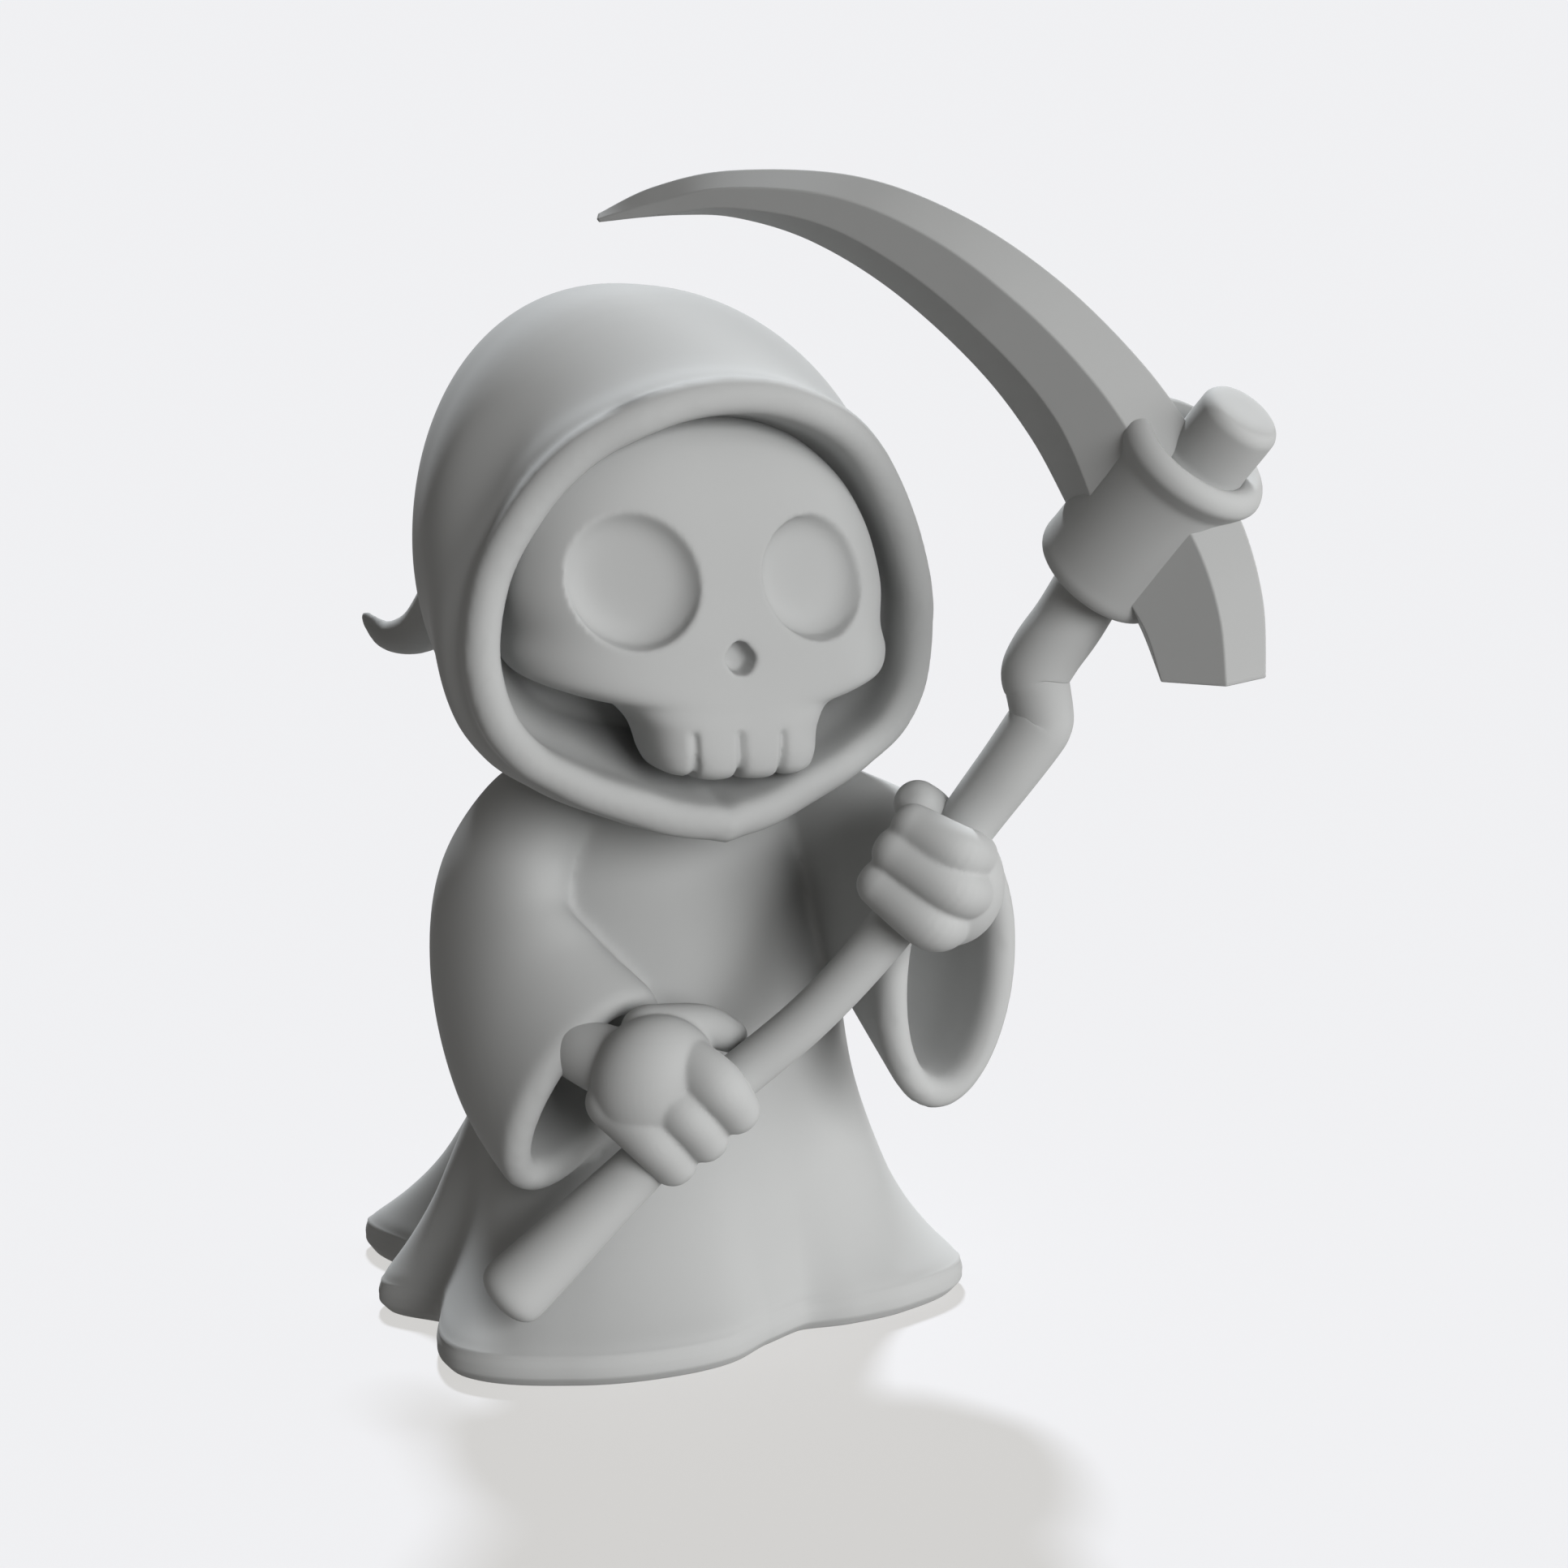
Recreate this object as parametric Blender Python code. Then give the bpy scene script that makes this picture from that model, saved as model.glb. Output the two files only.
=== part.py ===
"""A small cast figure of the folk reaper: hooded skull, flared robe, two fists and a crooked scythe."""

import math

import bmesh
import bpy
import numpy as np
from mathutils import Matrix, Vector

# Lengths in this list are in millimetres. MM turns them into the metres of the solids.
MM = 0.001
TURN = 2.0 * math.pi

# The hem, as bearing in degrees and radius, with a row at the crest of each lobe and the foot of each valley
HEM = [
    (-153, 35.0),
    (-133, 31.6),
    (-115, 28.0),
    (-99, 25.0),
    (-84, 21.5),
    (-70, 20.5),
    (-55, 23.9),
    (-42, 27.8),
    (-24, 32.2),
    (-3, 27.0),
    (14, 33.0),
    (35, 28.0),
    (55, 36.0),
    (75, 29.0),
    (96, 36.0),
    (115, 29.0),
    (134, 38.0),
    (151, 28.5),
    (168, 32.8),
    (181, 28.0),
    (207, 35.0),
]
RIM_HEIGHT = 3.4
RIM_CHAMFER = 1.2
FLARE_LENGTH = 7.0
PLEAT_LENGTH = 17.0
PLEAT_DEPTH = 0.42
# Height, half width, half depth and set back of the robe above its flare
ROBE_CORE = [
    (0, 24.0, 21.0, 3.0),
    (14, 22.6, 19.6, 2.4),
    (26, 20.2, 17.2, 1.4),
    (40, 18.6, 15.6, 1.0),
    (52, 16.6, 13.4, 1.0),
    (60, 12.0, 10.0, 1.0),
    (66, 8.0, 7.0, 1.0),
]

# Centre of the hood's front, and the outline of its rim: bearing from the top, radius, forward reach
HOOD_X = -1.6
HOOD_Z = 80.0
HOOD_RIM = [
    (0, 23.6, 21.2),
    (22, 23.7, 20.6),
    (42, 24.2, 18.6),
    (62, 24.5, 16.4),
    (83, 25.6, 15.0),
    (98, 26.6, 15.2),
    (114, 27.2, 17.0),
    (124, 26.6, 18.6),
    (136, 24.9, 20.2),
    (158, 23.2, 22.4),
    (176, 23.2, 23.8),
    (180, 23.6, 24.0),
]
# Station, height of middle, half width, rise to the crown and drop to the nape
HOOD_SHELL = [
    (27.5, 88.0, 0.0, 0.0, 0.0),
    (26.5, 87.5, 7.0, 8.6, 8.0),
    (23.0, 86.5, 14.2, 16.6, 16.5),
    (16.5, 85.0, 20.6, 23.8, 23.0),
    (8.0, 83.2, 24.2, 27.6, 25.0),
    (-1.0, 82.0, 26.2, 28.6, 26.0),
]
HOOD_LIP = 3.8
# How far the crown and the chin point stand to the figure's right of the hood's middle
HOOD_CROWN_SET = 1.3
HOOD_CHIN_SET = 1.8
HOOD_CAVITY_FLOOR = -4.0
TAIL = [
    (-3, 18, 94, 9.5),
    (-6, 26, 85, 7.6),
    (-10, 34, 75.5, 4.8),
    (-13.5, 40, 69, 2.9),
    (-16.5, 44, 67.6, 1.8),
    (-18.5, 46, 69.6, 0.8),
]

# Height, half width, front and back of the skull
SKULL_X = -2.2
SKULL = [
    (99.8, 0.0, -9.0, -9.0),
    (99.2, 6.5, -14.5, -3.0),
    (97.2, 11.8, -17.8, 0.0),
    (93.0, 16.8, -20.2, 2.0),
    (88.0, 19.6, -21.4, 2.0),
    (82.0, 20.9, -22.2, 2.0),
    (77.5, 20.5, -22.8, 2.0),
    (74.6, 20.9, -23.0, 2.0),
    (72.4, 19.6, -23.2, 0.0),
    (71.0, 15.8, -23.4, -4.0),
    (70.0, 11.6, -23.5, -7.0),
    (68.0, 9.6, -23.8, -10.0),
    (65.0, 8.9, -23.8, -11.5),
    (63.4, 7.9, -23.2, -12.5),
    (62.6, 5.3, -21.4, -14.0),
    (62.3, 0.0, -17.5, -17.5),
]
# How far the two sockets stand out from the middle: the figure's right, then its left
SOCKET_OUT = (-10.6, 9.85)
SOCKET_Z = 83.4
SOCKET_RADIUS = (7.1, 6.6)
SOCKET_DEPTH = 2.4
NOSE_Z = 75.5
NOSE_RADIUS = 1.6
# How far the face is set askew: sideways for each unit of drop, and down for each unit to the right
SKULL_SKEW = (0.05, 0.05)
TOOTH_WIDTH = 4.95
TOOTH_GAP = 0.7
TOOTH_TOP = 68.4

# Sleeves: centre, way the section faces, way its long axis hangs, long and short half sizes
RIGHT_SLEEVE = [
    ((-9.4, 2, 57.2), (-0.8, 0.0, -0.6), (0.2, 1.0, -0.2), 4.0, 3.6),
    ((-13, 1.8, 56), (-0.7, -0.1, -0.7), (0.1, 1.0, -0.2), 8.4, 6.2),
    ((-17.9, 1.8, 50), (-0.35, -0.2, -0.9), (-0.1, 1.0, -0.3), 10.2, 6.3),
    ((-20.1, -0.5, 42.5), (0.0, -0.55, -0.83), (-0.2, 0.9, -0.6), 11.4, 6.2),
    ((-19.3, -7.5, 35), (0.18, -0.84, -0.5), (-0.42, 0.5, -0.85), 12.2, 7.1),
    ((-16.9, -15.5, 30), (0.28, -0.92, -0.27), (-0.55, 0.05, -0.84), 12.6, 7.8),
]
LEFT_SLEEVE = [
    ((8.4, 1.5, 57.2), (0.7, -0.5, -0.5), (0.6, 0.8, -0.3), 4.0, 3.6),
    ((12.6, 0.5, 56), (0.7, -0.45, -0.55), (0.5, 0.8, -0.4), 8.4, 6.2),
    ((16.8, -4.0, 51.5), (0.45, -0.75, -0.5), (0.4, 0.5, -0.8), 10.8, 6.6),
    ((19.4, -12.5, 45.8), (0.25, -0.93, -0.25), (0.1, 0.1, -1.0), 13.0, 7.4),
    ((20.9, -25.0, 40.6), (0.1, -0.98, -0.06), (-0.03, 0.05, -1.0), 15.6, 8.6),
]
SLEEVE_LIP = 3.4
SLEEVE_HOLLOW = 14.0

# Handle: middle line and radius, from the foot to the tip
HANDLE = [
    (-26.6, -19.6, 10.2, 3.9),
    (-20.8, -21.2, 15.9, 3.4),
    (-13.6, -23.5, 23.3, 2.8),
    (-6.0, -26.1, 31.0, 2.6),
    (3.2, -29.1, 39.0, 2.5),
    (11.1, -31.7, 48.2, 2.6),
    (18.9, -34.2, 59.5, 3.1),
    (22.2, -35.8, 64.6, 3.3),
    (24.7, -36.8, 68.5, 3.45),
    (25.2, -37.0, 69.7, 3.3),
    (24.8, -36.7, 72.8, 3.35),
    (24.6, -36.5, 74.2, 3.6),
    (25.7, -37.0, 76.6, 3.7),
    (27.6, -37.9, 79.6, 3.7),
    (29.6, -39.0, 83.6, 3.7),
    (30.8, -40.6, 86.8, 3.7),
]
FERRULE_FOOT = (29.8, -39.3, 84.0)
FERRULE_HEAD = (35.4, -50.0, 98.4)
FERRULE_RADIUS = 7.1
FERRULE_LIP = 8.05
# The handle's end stands in the lip a little off its middle
STUB_SHIFT = (0.76, -0.52, -0.67)
STUB_RADIUS = 4.2
STUB_REACH = 5.8
STUB_DEPTH = 4.0

# The blade's plane goes through the ferrule, faces the bearing and leans forward
BLADE_MIDDLE = (31.7, -45.4, 91.0)
BLADE_BEARING = -52.0
BLADE_LEAN = -8.5
BLADE_THICK = 7.6
# Across and up in the blade's plane at the back edge, the same at the cutting edge, and the shares of
# the way from one to the other where the two ridges stand
BLADE = [
    (-59.2, 28.3, -58.6, 27.5, 0.51, 0.91),
    (-52.5, 31.3, -49.8, 28.4, 0.45, 0.85),
    (-43.2, 33.3, -42.9, 28.3, 0.30, 0.70),
    (-29.6, 33.2, -34.7, 26.2, 0.24, 0.63),
    (-18.3, 29.8, -26.0, 21.5, 0.23, 0.63),
    (-8.2, 23.8, -17.5, 14.4, 0.24, 0.63),
    (0.4, 15.9, -11.7, 7.2, 0.25, 0.64),
    (6.3, 8.0, -7.1, -1.4, 0.26, 0.73),
    (10.4, 0.3, -3.2, -7.3, 0.25, 0.85),
    (12.4, -7.5, -0.8, -11.5, 0.25, 0.84),
    (12.5, -15.4, 0.8, -15.7, 0.25, 0.84),
]

# Wrists: middle line and radius. Palms: middle and half sizes
RIGHT_WRIST = [(-18.4, -8.5, 35.4, 3.4), (-17.8, -17.2, 34.9, 3.4), (-14.4, -22.0, 33.4, 4.0)]
LEFT_WRIST = [(20, -18, 49, 3.6), (18.6, -27.0, 51.5, 3.6)]
RIGHT_PALM = ((-12.3, -24.6, 32.7), (6.8, 5.4, 6.9))
LEFT_PALM = ((16.8, -33.0, 52.4), (5.8, 5.8, 6.6))
# Each digit: middle line and radius, from knuckle to tip
RIGHT_FINGERS = [
    [(-10.4, -25.4, 35.2, 3.0), (-7.8, -29.4, 33.0, 2.9), (-5.4, -28.8, 30.0, 2.6)],
    [(-13.2, -24.8, 32.6, 3.0), (-10.8, -28.2, 30.2, 2.9), (-8.3, -27.5, 27.0, 2.6)],
    [(-16.4, -23.6, 30.6, 3.0), (-13.8, -26.6, 27.6, 2.9), (-11.2, -26.0, 24.4, 2.6)],
]
RIGHT_THUMB = [(-12.0, -22.0, 37.2, 2.8), (-6.4, -22.4, 37.2, 2.3), (-3.4, -23.2, 36.0, 1.8)]
LEFT_FINGERS = [
    [(16.2, -33.6, 48.8, 3.0), (12.4, -37.4, 50.0, 3.0), (8.6, -34.4, 53.4, 2.6)],
    [(18.2, -34.8, 51.8, 3.0), (14.0, -38.8, 53.6, 2.9), (9.8, -35.4, 56.8, 2.6)],
    [(18.2, -35.0, 55.4, 2.9), (14.6, -38.6, 57.2, 2.8), (11.4, -35.9, 59.4, 2.4)],
]
LEFT_THUMB = [(17.6, -29.8, 56.6, 2.8), (15.6, -30.8, 59.2, 2.7), (14.0, -31.6, 60.6, 2.5)]


def clear_scene():
    """Remove what the scene starts with."""
    for thing in list(bpy.data.objects):
        bpy.data.objects.remove(thing, do_unlink=True)


def through(rows, share):
    """A smooth line through the rows at a share of the way from the first to the last."""
    table = np.asarray(rows, float)
    place = min(max(share, 0.0), 1.0) * (len(table) - 1)
    index = min(int(place), len(table) - 2)
    part = place - index
    before = table[max(index - 1, 0)]
    start = table[index]
    end = table[index + 1]
    after = table[min(index + 2, len(table) - 1)]
    bend = 2 * before - 5 * start + 4 * end - after
    twist = 3 * start - before - 3 * end + after
    return 0.5 * (2 * start + (end - before) * part + bend * part**2 + twist * part**3)


def curve(rows, place):
    """The row's values at a place, on a smooth curve that never swings past a turning point."""
    table = np.asarray(rows, float)
    place = min(max(place, table[0, 0]), table[-1, 0])
    gaps = np.diff(table[:, 0])
    rises = np.diff(table[:, 1:], axis=0) / gaps[:, None]
    index = int(min(np.searchsorted(table[:, 0], place, side="right") - 1, len(gaps) - 1))

    def slope(number):
        if number == 0 or number == len(gaps):
            return 0.0 * rises[0]
        before = rises[number - 1]
        after = rises[number]
        same = before * after > 0
        mean = 2 * before * after / np.where(same, before + after, 1.0)
        return np.where(same, mean, 0.0)

    gap = gaps[index]
    part = (place - table[index, 0]) / gap
    low = table[index, 1:]
    high = table[index + 1, 1:]
    ease = part * part * (3 - 2 * part)
    start = part * (1 - part) ** 2 * gap * slope(index)
    end = part * part * (1 - part) * gap * slope(index + 1)
    return low + (high - low) * ease + start - end


def unit(vector):
    """The vector with a length of one."""
    array = np.asarray(vector, float)
    return array / np.linalg.norm(array)


def material():
    """The one pale cast resin of the whole figure."""
    made = bpy.data.materials.get("resin") or bpy.data.materials.new("resin")
    made.use_nodes = True
    principled = made.node_tree.nodes["Principled BSDF"]
    principled.inputs["Base Color"].default_value = (0.42, 0.43, 0.42, 1.0)
    principled.inputs["Roughness"].default_value = 0.75
    return made


def surface(name, shape, along, around):
    """A closed skin: shape(share, angle) gives the point in millimetres, with a pole at each end."""
    mesh = bpy.data.meshes.new(name)
    work = bmesh.new()
    bmesh.ops.create_grid(work, x_segments=along, y_segments=around, size=0.5)
    for vertex in work.verts:
        spot = shape(vertex.co.x + 0.5, (vertex.co.y + 0.5) * TURN)
        vertex.co = Vector([float(value) * MM for value in spot])
    bmesh.ops.remove_doubles(work, verts=work.verts, dist=0.000001)
    bmesh.ops.recalc_face_normals(work, faces=work.faces)
    work.to_mesh(mesh)
    work.free()
    made = bpy.data.objects.new(name, mesh)
    bpy.context.collection.objects.link(made)
    return made


def rows_shape(rows, ring):
    """A shape that goes row by row: each share of the way lands on a row or between two."""

    def shape(share, angle):
        return ring(share * (len(rows) - 1), angle)

    return shape


def robe_point(height, inset, bearing):
    """A point of the robe's skin at a height, pulled in from the outline by the inset."""
    wide, deep, back = curve(ROBE_CORE, height)
    side = math.cos(math.radians(bearing))
    fore = math.sin(math.radians(bearing))
    core = 1.0 / math.sqrt((side / wide) ** 2 + (fore / deep) ** 2)
    hem = curve(HEM, (bearing + 153) % 360 - 153)[0]
    rise = max(height - RIM_HEIGHT, 0.0)
    flare = math.exp(-rise / FLARE_LENGTH)
    behind = min(max((fore + 0.55 * abs(side) - 0.1) / 0.5, 0.0), 1.0)
    pleat = behind * PLEAT_DEPTH * (hem - 31.5) * math.exp(-rise / PLEAT_LENGTH) * (1 - flare)
    radius = core + (hem - core) * flare + pleat - inset
    return np.array([radius * side, radius * fore + back * (1 - flare), height])


def robe(around, extra):
    """The robe with its lobed, banded hem."""
    rows = [(0.0, 100.0), (0.0, RIM_CHAMFER), (RIM_CHAMFER, 0.0)]
    rows += [(RIM_HEIGHT - 0.5, 0.05), (RIM_HEIGHT, 0.25)]
    rise = RIM_HEIGHT + 0.6
    step = 1.2
    while rise < 62:
        rows.append((rise, 0.0))
        rise += step
        step *= extra
    rows.append((64.5, 0.0))
    rows.append((66.0, 2.5))
    rows.append((66.0, 100.0))

    def ring(place, angle):
        height, inset = rows[int(round(place))]
        if inset > 50:
            return np.array([0.0, 0.0, height])
        return robe_point(height, inset, math.degrees(angle))

    return surface("robe", rows_shape(rows, ring), len(rows) - 1, around)


def faced(centre, face, hang, long_half, short_half, angle):
    """A point of an oval section that faces one way and hangs another."""
    normal = unit(face)
    hang = unit(np.asarray(hang, float) - normal * np.dot(hang, normal))
    side = np.cross(normal, hang)
    return centre + hang * long_half * math.cos(angle) + side * short_half * math.sin(angle), normal


def sleeve(name, stations, outside, around):
    """A bell sleeve with a rolled mouth and a blind hollow."""
    flat = [(*row[0], *row[1], *row[2], row[3], row[4]) for row in stations]
    lip = SLEEVE_LIP
    mouth = [(0.8, 0.4), (1.5, 1.3), (1.5, 2.3), (0.6, lip), (-2.0, lip + 0.4), (-7.0, lip + 0.9)]
    mouth.append((-SLEEVE_HOLLOW + 1.5, lip + 2.2))
    mouth.append((-SLEEVE_HOLLOW, 100.0))
    count = 1 + outside + len(mouth)

    def shape(share, angle):
        place = int(round(share * count))
        reach, inset = (0.0, 0.0) if place <= outside + 1 else mouth[place - outside - 2]
        row = through(flat, (place - 1) / outside if place else 0.0)
        shrink = 0.0 if place == 0 or inset > 50 else 1.0
        long_half = (row[9] - inset) * shrink
        short_half = (row[10] - inset) * shrink
        spot, normal = faced(row[0:3], row[3:6], row[6:9], long_half, short_half, angle)
        return spot + normal * reach

    return surface(name, shape, count, around)


def rim_at(bearing):
    """Radius and forward reach of the hood's rim at a bearing from the top, either side alike."""
    turn = abs((bearing + 180) % 360 - 180)
    return curve(HOOD_RIM, turn)


def hood_rows(shell_count):
    """Rows from the back pole over the shell, round the lip and into the cavity."""
    rows = []
    for number in range(shell_count + 1):
        share = (1 - math.cos(math.pi * 0.5 * number / shell_count)) if number else 0.0
        rows.append(("shell", share ** 0.8 if number else 0.0))
    rows += [("front", -7.5, -0.8), ("front", -4.6, -0.1), ("front", -3.7, 0.35)]
    rows += [("front", -2.9, -0.2), ("front", -1.3, -0.15)]
    rows += [("front", -0.3, 0.9), ("front", 0.0, 2.1), ("front", -0.6, 3.4), ("front", -2.2, HOOD_LIP)]
    rows += [("front", -6.0, HOOD_LIP + 0.5), ("cavity", 2.0), ("cavity", 0.0)]
    return rows


def hood(around, shell_count):
    """The hood: a deep shell with a rolled rim that comes to a point under the chin."""
    rows = hood_rows(shell_count)

    def ring(place, angle):
        row = rows[int(round(place))]
        bearing = math.degrees(angle)
        across = math.sin(angle)
        up = math.cos(angle)
        radius, reach = rim_at(bearing)
        if row[0] == "front":
            size = radius - row[2]
            aside = HOOD_CHIN_SET * max(-up, 0.0) ** 1.5
            return np.array([HOOD_X - aside + across * size, -reach - row[1], HOOD_Z + up * size])
        if row[0] == "cavity":
            size = (radius - HOOD_LIP - 4.0) if row[1] else 0.0
            return np.array([HOOD_X + across * size, HOOD_CAVITY_FLOOR - row[1], HOOD_Z + up * size])
        level, middle, wide, rise, drop = through(HOOD_SHELL, row[1])
        aside = HOOD_CROWN_SET * max(up, 0.0) ** 2
        return np.array([HOOD_X - aside + across * wide, level, middle + up * (rise if up > 0 else drop)])

    return surface("hood", rows_shape(rows, ring), len(rows) - 1, around)


def skull_block(along, around):
    """The skull without its hollows."""

    def shape(share, angle):
        height, wide, front, back = through(SKULL, share)
        middle = (front + back) / 2
        deep = (back - front) / 2
        power = curve([(0.0, 0.85), (0.6, 0.8), (0.72, 0.6), (1.0, 0.6)], share)[0]
        side = math.copysign(abs(math.sin(angle)) ** power, math.sin(angle))
        fore = math.copysign(abs(math.cos(angle)) ** power, math.cos(angle))
        return np.array([SKULL_X + side * max(wide, 0.0), middle - fore * max(deep, 0.0), height])

    return surface("skull", shape, along, around)


def cutter_round(name, middle, face, wide, tall, depth, around):
    """A plug that faces one way, with a flat floor and a rounded edge."""
    rows = [(-depth, 0.0), (-depth, 0.8), (-depth + 0.8, 0.96), (0.0, 1.0), (6.0, 1.06), (6.0, 0.0)]

    def ring(place, angle):
        reach, size = rows[int(round(place))]
        spot, normal = faced(np.asarray(middle, float), face, (0, 0, -1), tall * size, wide * size, angle)
        return spot + normal * reach

    return surface(name, rows_shape(rows, ring), len(rows) - 1, around)


def tube(name, rows, along, around, blunt=1.0):
    """A round rod through rows of (x, y, z, radius), with domed ends."""
    table = np.asarray(rows, float)
    spots = [through(table, number / along) for number in range(along + 1)]
    caps = 4
    count = along + 2 * caps

    def shape(share, angle):
        place = int(round(share * count))
        index = min(max(place - caps, 0), along)
        spot = spots[index]
        ahead = spots[min(index + 1, along)]
        behind = spots[max(index - 1, 0)]
        way = unit(ahead[0:3] - behind[0:3])
        side = unit(np.cross(way, (0.3, 0.9, 0.2)))
        other = np.cross(way, side)
        size = spot[3]
        reach = 0.0
        if place < caps or place > count - caps:
            turn = 0.5 * math.pi * (caps - place if place < caps else place - count + caps) / caps
            size = spot[3] * math.cos(turn) ** 0.8 if turn < 1.5707 else 0.0
            reach = blunt * spot[3] * math.sin(turn) * (-1 if place < caps else 1)
        ring = side * math.cos(angle) + other * math.sin(angle)
        return spot[0:3] + way * reach + ring * size

    return surface(name, shape, count, around)


def ball(name, middle, halves, along, around):
    """An egg of three half sizes."""

    def shape(share, angle):
        turn = share * math.pi
        size = math.sin(turn)
        spot = np.array([size * math.cos(angle), size * math.sin(angle), math.cos(turn)])
        return np.asarray(middle, float) + np.asarray(halves, float) * spot

    return surface(name, shape, along, around)


def turned(name, foot, head, profile, around):
    """A turned piece about the line from foot to head: rows of (reach from foot, radius)."""
    start = np.asarray(foot, float)
    way = unit(np.asarray(head, float) - start)
    side = unit(np.cross(way, (0, 1, 0)))
    other = np.cross(way, side)

    def ring(place, angle):
        reach, radius = profile[int(round(place))]
        return start + way * reach + (side * math.cos(angle) + other * math.sin(angle)) * radius

    return surface(name, rows_shape(profile, ring), len(profile) - 1, around)


def ferrule(around):
    """The tube at the head of the handle, with a rolled lip round a shallow recess."""
    long = float(np.linalg.norm(np.subtract(FERRULE_HEAD, FERRULE_FOOT)))
    body = FERRULE_RADIUS
    lip = FERRULE_LIP
    profile = [(0.4, 0.0), (0.0, body - 2.0), (0.3, body - 0.8), (1.3, body), (long - 3.8, body)]
    profile += [(long - 2.9, lip - 0.4), (long - 1.8, lip), (long - 0.7, lip - 0.4), (long - 0.1, lip - 1.4)]
    profile += [(long - 0.6, lip - 2.5), (long - 1.6, lip - 3.0), (long - 1.6, 0.0)]
    return turned("ferrule", FERRULE_FOOT, FERRULE_HEAD, profile, around)


def stub(around):
    """The handle's end, standing in the ferrule's lip."""
    foot = np.add(FERRULE_HEAD, STUB_SHIFT)
    head = foot + np.subtract(FERRULE_HEAD, FERRULE_FOOT)
    profile = [(-STUB_DEPTH, 0.0), (-STUB_DEPTH, STUB_RADIUS), (STUB_REACH - 1.2, STUB_RADIUS)]
    profile += [(STUB_REACH - 0.4, STUB_RADIUS - 0.5), (STUB_REACH, STUB_RADIUS - 1.6), (STUB_REACH, 0.0)]
    return turned("stub", foot, head, profile, around)


def blade(along):
    """The crescent, six sided in section and cut square at its tail."""
    bearing = math.radians(BLADE_BEARING)
    lean = math.radians(BLADE_LEAN)
    right = np.array([math.cos(bearing), math.sin(bearing), 0.0])
    flat = np.array([math.sin(bearing), -math.cos(bearing), 0.0])
    toward = flat * math.cos(lean) + np.array([0.0, 0.0, math.sin(lean)])
    upright = np.cross(toward, right)

    def shape(share, angle):
        place = min(max((share * (along + 2) - 1) / along, 0.0), 1.0)
        station = through(BLADE, place)
        back = station[0:2]
        edge = station[2:4]
        spine, bevel = station[4:6]
        corner = int(round(angle / TURN * 6)) % 6
        inward = (0.0, spine, bevel, 1.0, bevel, spine)[corner]
        half = BLADE_THICK / 2 * min(1.0, 0.28 + 1.5 * place)
        lift = (0.12, 1.0, 1.0, 0.06, -1.0, -1.0)[corner] * half
        spot = back + (edge - back) * inward
        if share < 0.001 or share > 0.999:
            spot = (back + edge) / 2
            lift = 0.0
        return BLADE_MIDDLE + right * spot[0] + upright * spot[1] + toward * lift

    return surface("blade", shape, along + 2, 6)


def combine(target, tool, kind):
    """Join or cut the target with the tool, which is then removed."""
    tool.hide_render = True
    tool.display_type = "WIRE"
    step = target.modifiers.new("step", "BOOLEAN")
    step.operation = kind
    step.solver = "EXACT"
    step.object = tool
    graph = bpy.context.evaluated_depsgraph_get()
    result = bpy.data.meshes.new_from_object(target.evaluated_get(graph))
    target.modifiers.clear()
    old = target.data
    target.data = result
    bpy.data.meshes.remove(old)
    bpy.data.objects.remove(tool, do_unlink=True)


def skull(along, around):
    """The skull with its eye sockets, nose and teeth."""
    made = skull_block(along, around)
    for out, size in zip(SOCKET_OUT, SOCKET_RADIUS):
        middle = (SKULL_X + out, -21.4, SOCKET_Z)
        face = (math.copysign(0.22, out), -1, 0.05)
        tool = cutter_round("socket", middle, face, size, size, SOCKET_DEPTH, 20)
        combine(made, tool, "DIFFERENCE")
    nose = cutter_round("nose", (SKULL_X, -22.9, NOSE_Z), (0, -1, 0), NOSE_RADIUS, NOSE_RADIUS * 1.1, 1.6, 10)
    combine(made, nose, "DIFFERENCE")
    for number in (-1, 0, 1):
        middle = (SKULL_X - 0.9 + number * TOOTH_WIDTH, -23.6, 64.6)
        gap = cutter_round("gap", middle, (number * 0.2, -1, 0), TOOTH_GAP / 2, TOOTH_TOP - 64.6, 0.9, 8)
        combine(made, gap, "DIFFERENCE")
    askew = Matrix.Identity(4)
    askew[0][2] = -SKULL_SKEW[0]
    askew[2][0] = -SKULL_SKEW[1]
    pivot = Matrix.Translation((SKULL_X * MM, 0.0, SOCKET_Z * MM))
    made.data.transform(pivot @ askew @ pivot.inverted())
    return made


def figure():
    """Every form of the casting, joined into one."""
    made = robe(58, 1.6)
    pieces = [
        sleeve("right sleeve", RIGHT_SLEEVE, 7, 22),
        sleeve("left sleeve", LEFT_SLEEVE, 6, 22),
        hood(40, 6),
        tube("tail", TAIL, 6, 12),
        skull(18, 34),
        ball("right palm", *RIGHT_PALM, 8, 14),
        ball("left palm", *LEFT_PALM, 8, 14),
        tube("right wrist", RIGHT_WRIST, 4, 12),
        tube("left wrist", LEFT_WRIST, 2, 12),
        tube("handle", HANDLE, 30, 12, 0.5),
        tube("right thumb", RIGHT_THUMB, 4, 10),
        tube("left thumb", LEFT_THUMB, 3, 10),
        ferrule(20),
        stub(16),
        blade(18),
    ]
    for number, line in enumerate(RIGHT_FINGERS):
        pieces.append(tube(f"right finger {number}", line, 3, 10))
    for number, line in enumerate(LEFT_FINGERS):
        pieces.append(tube(f"left finger {number}", line, 4, 10))
    for piece in pieces:
        combine(made, piece, "UNION")
    made.name = "reaper"
    made.data.name = "reaper"
    made.data.materials.clear()
    made.data.materials.append(material())
    return made


clear_scene()
figure()
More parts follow.
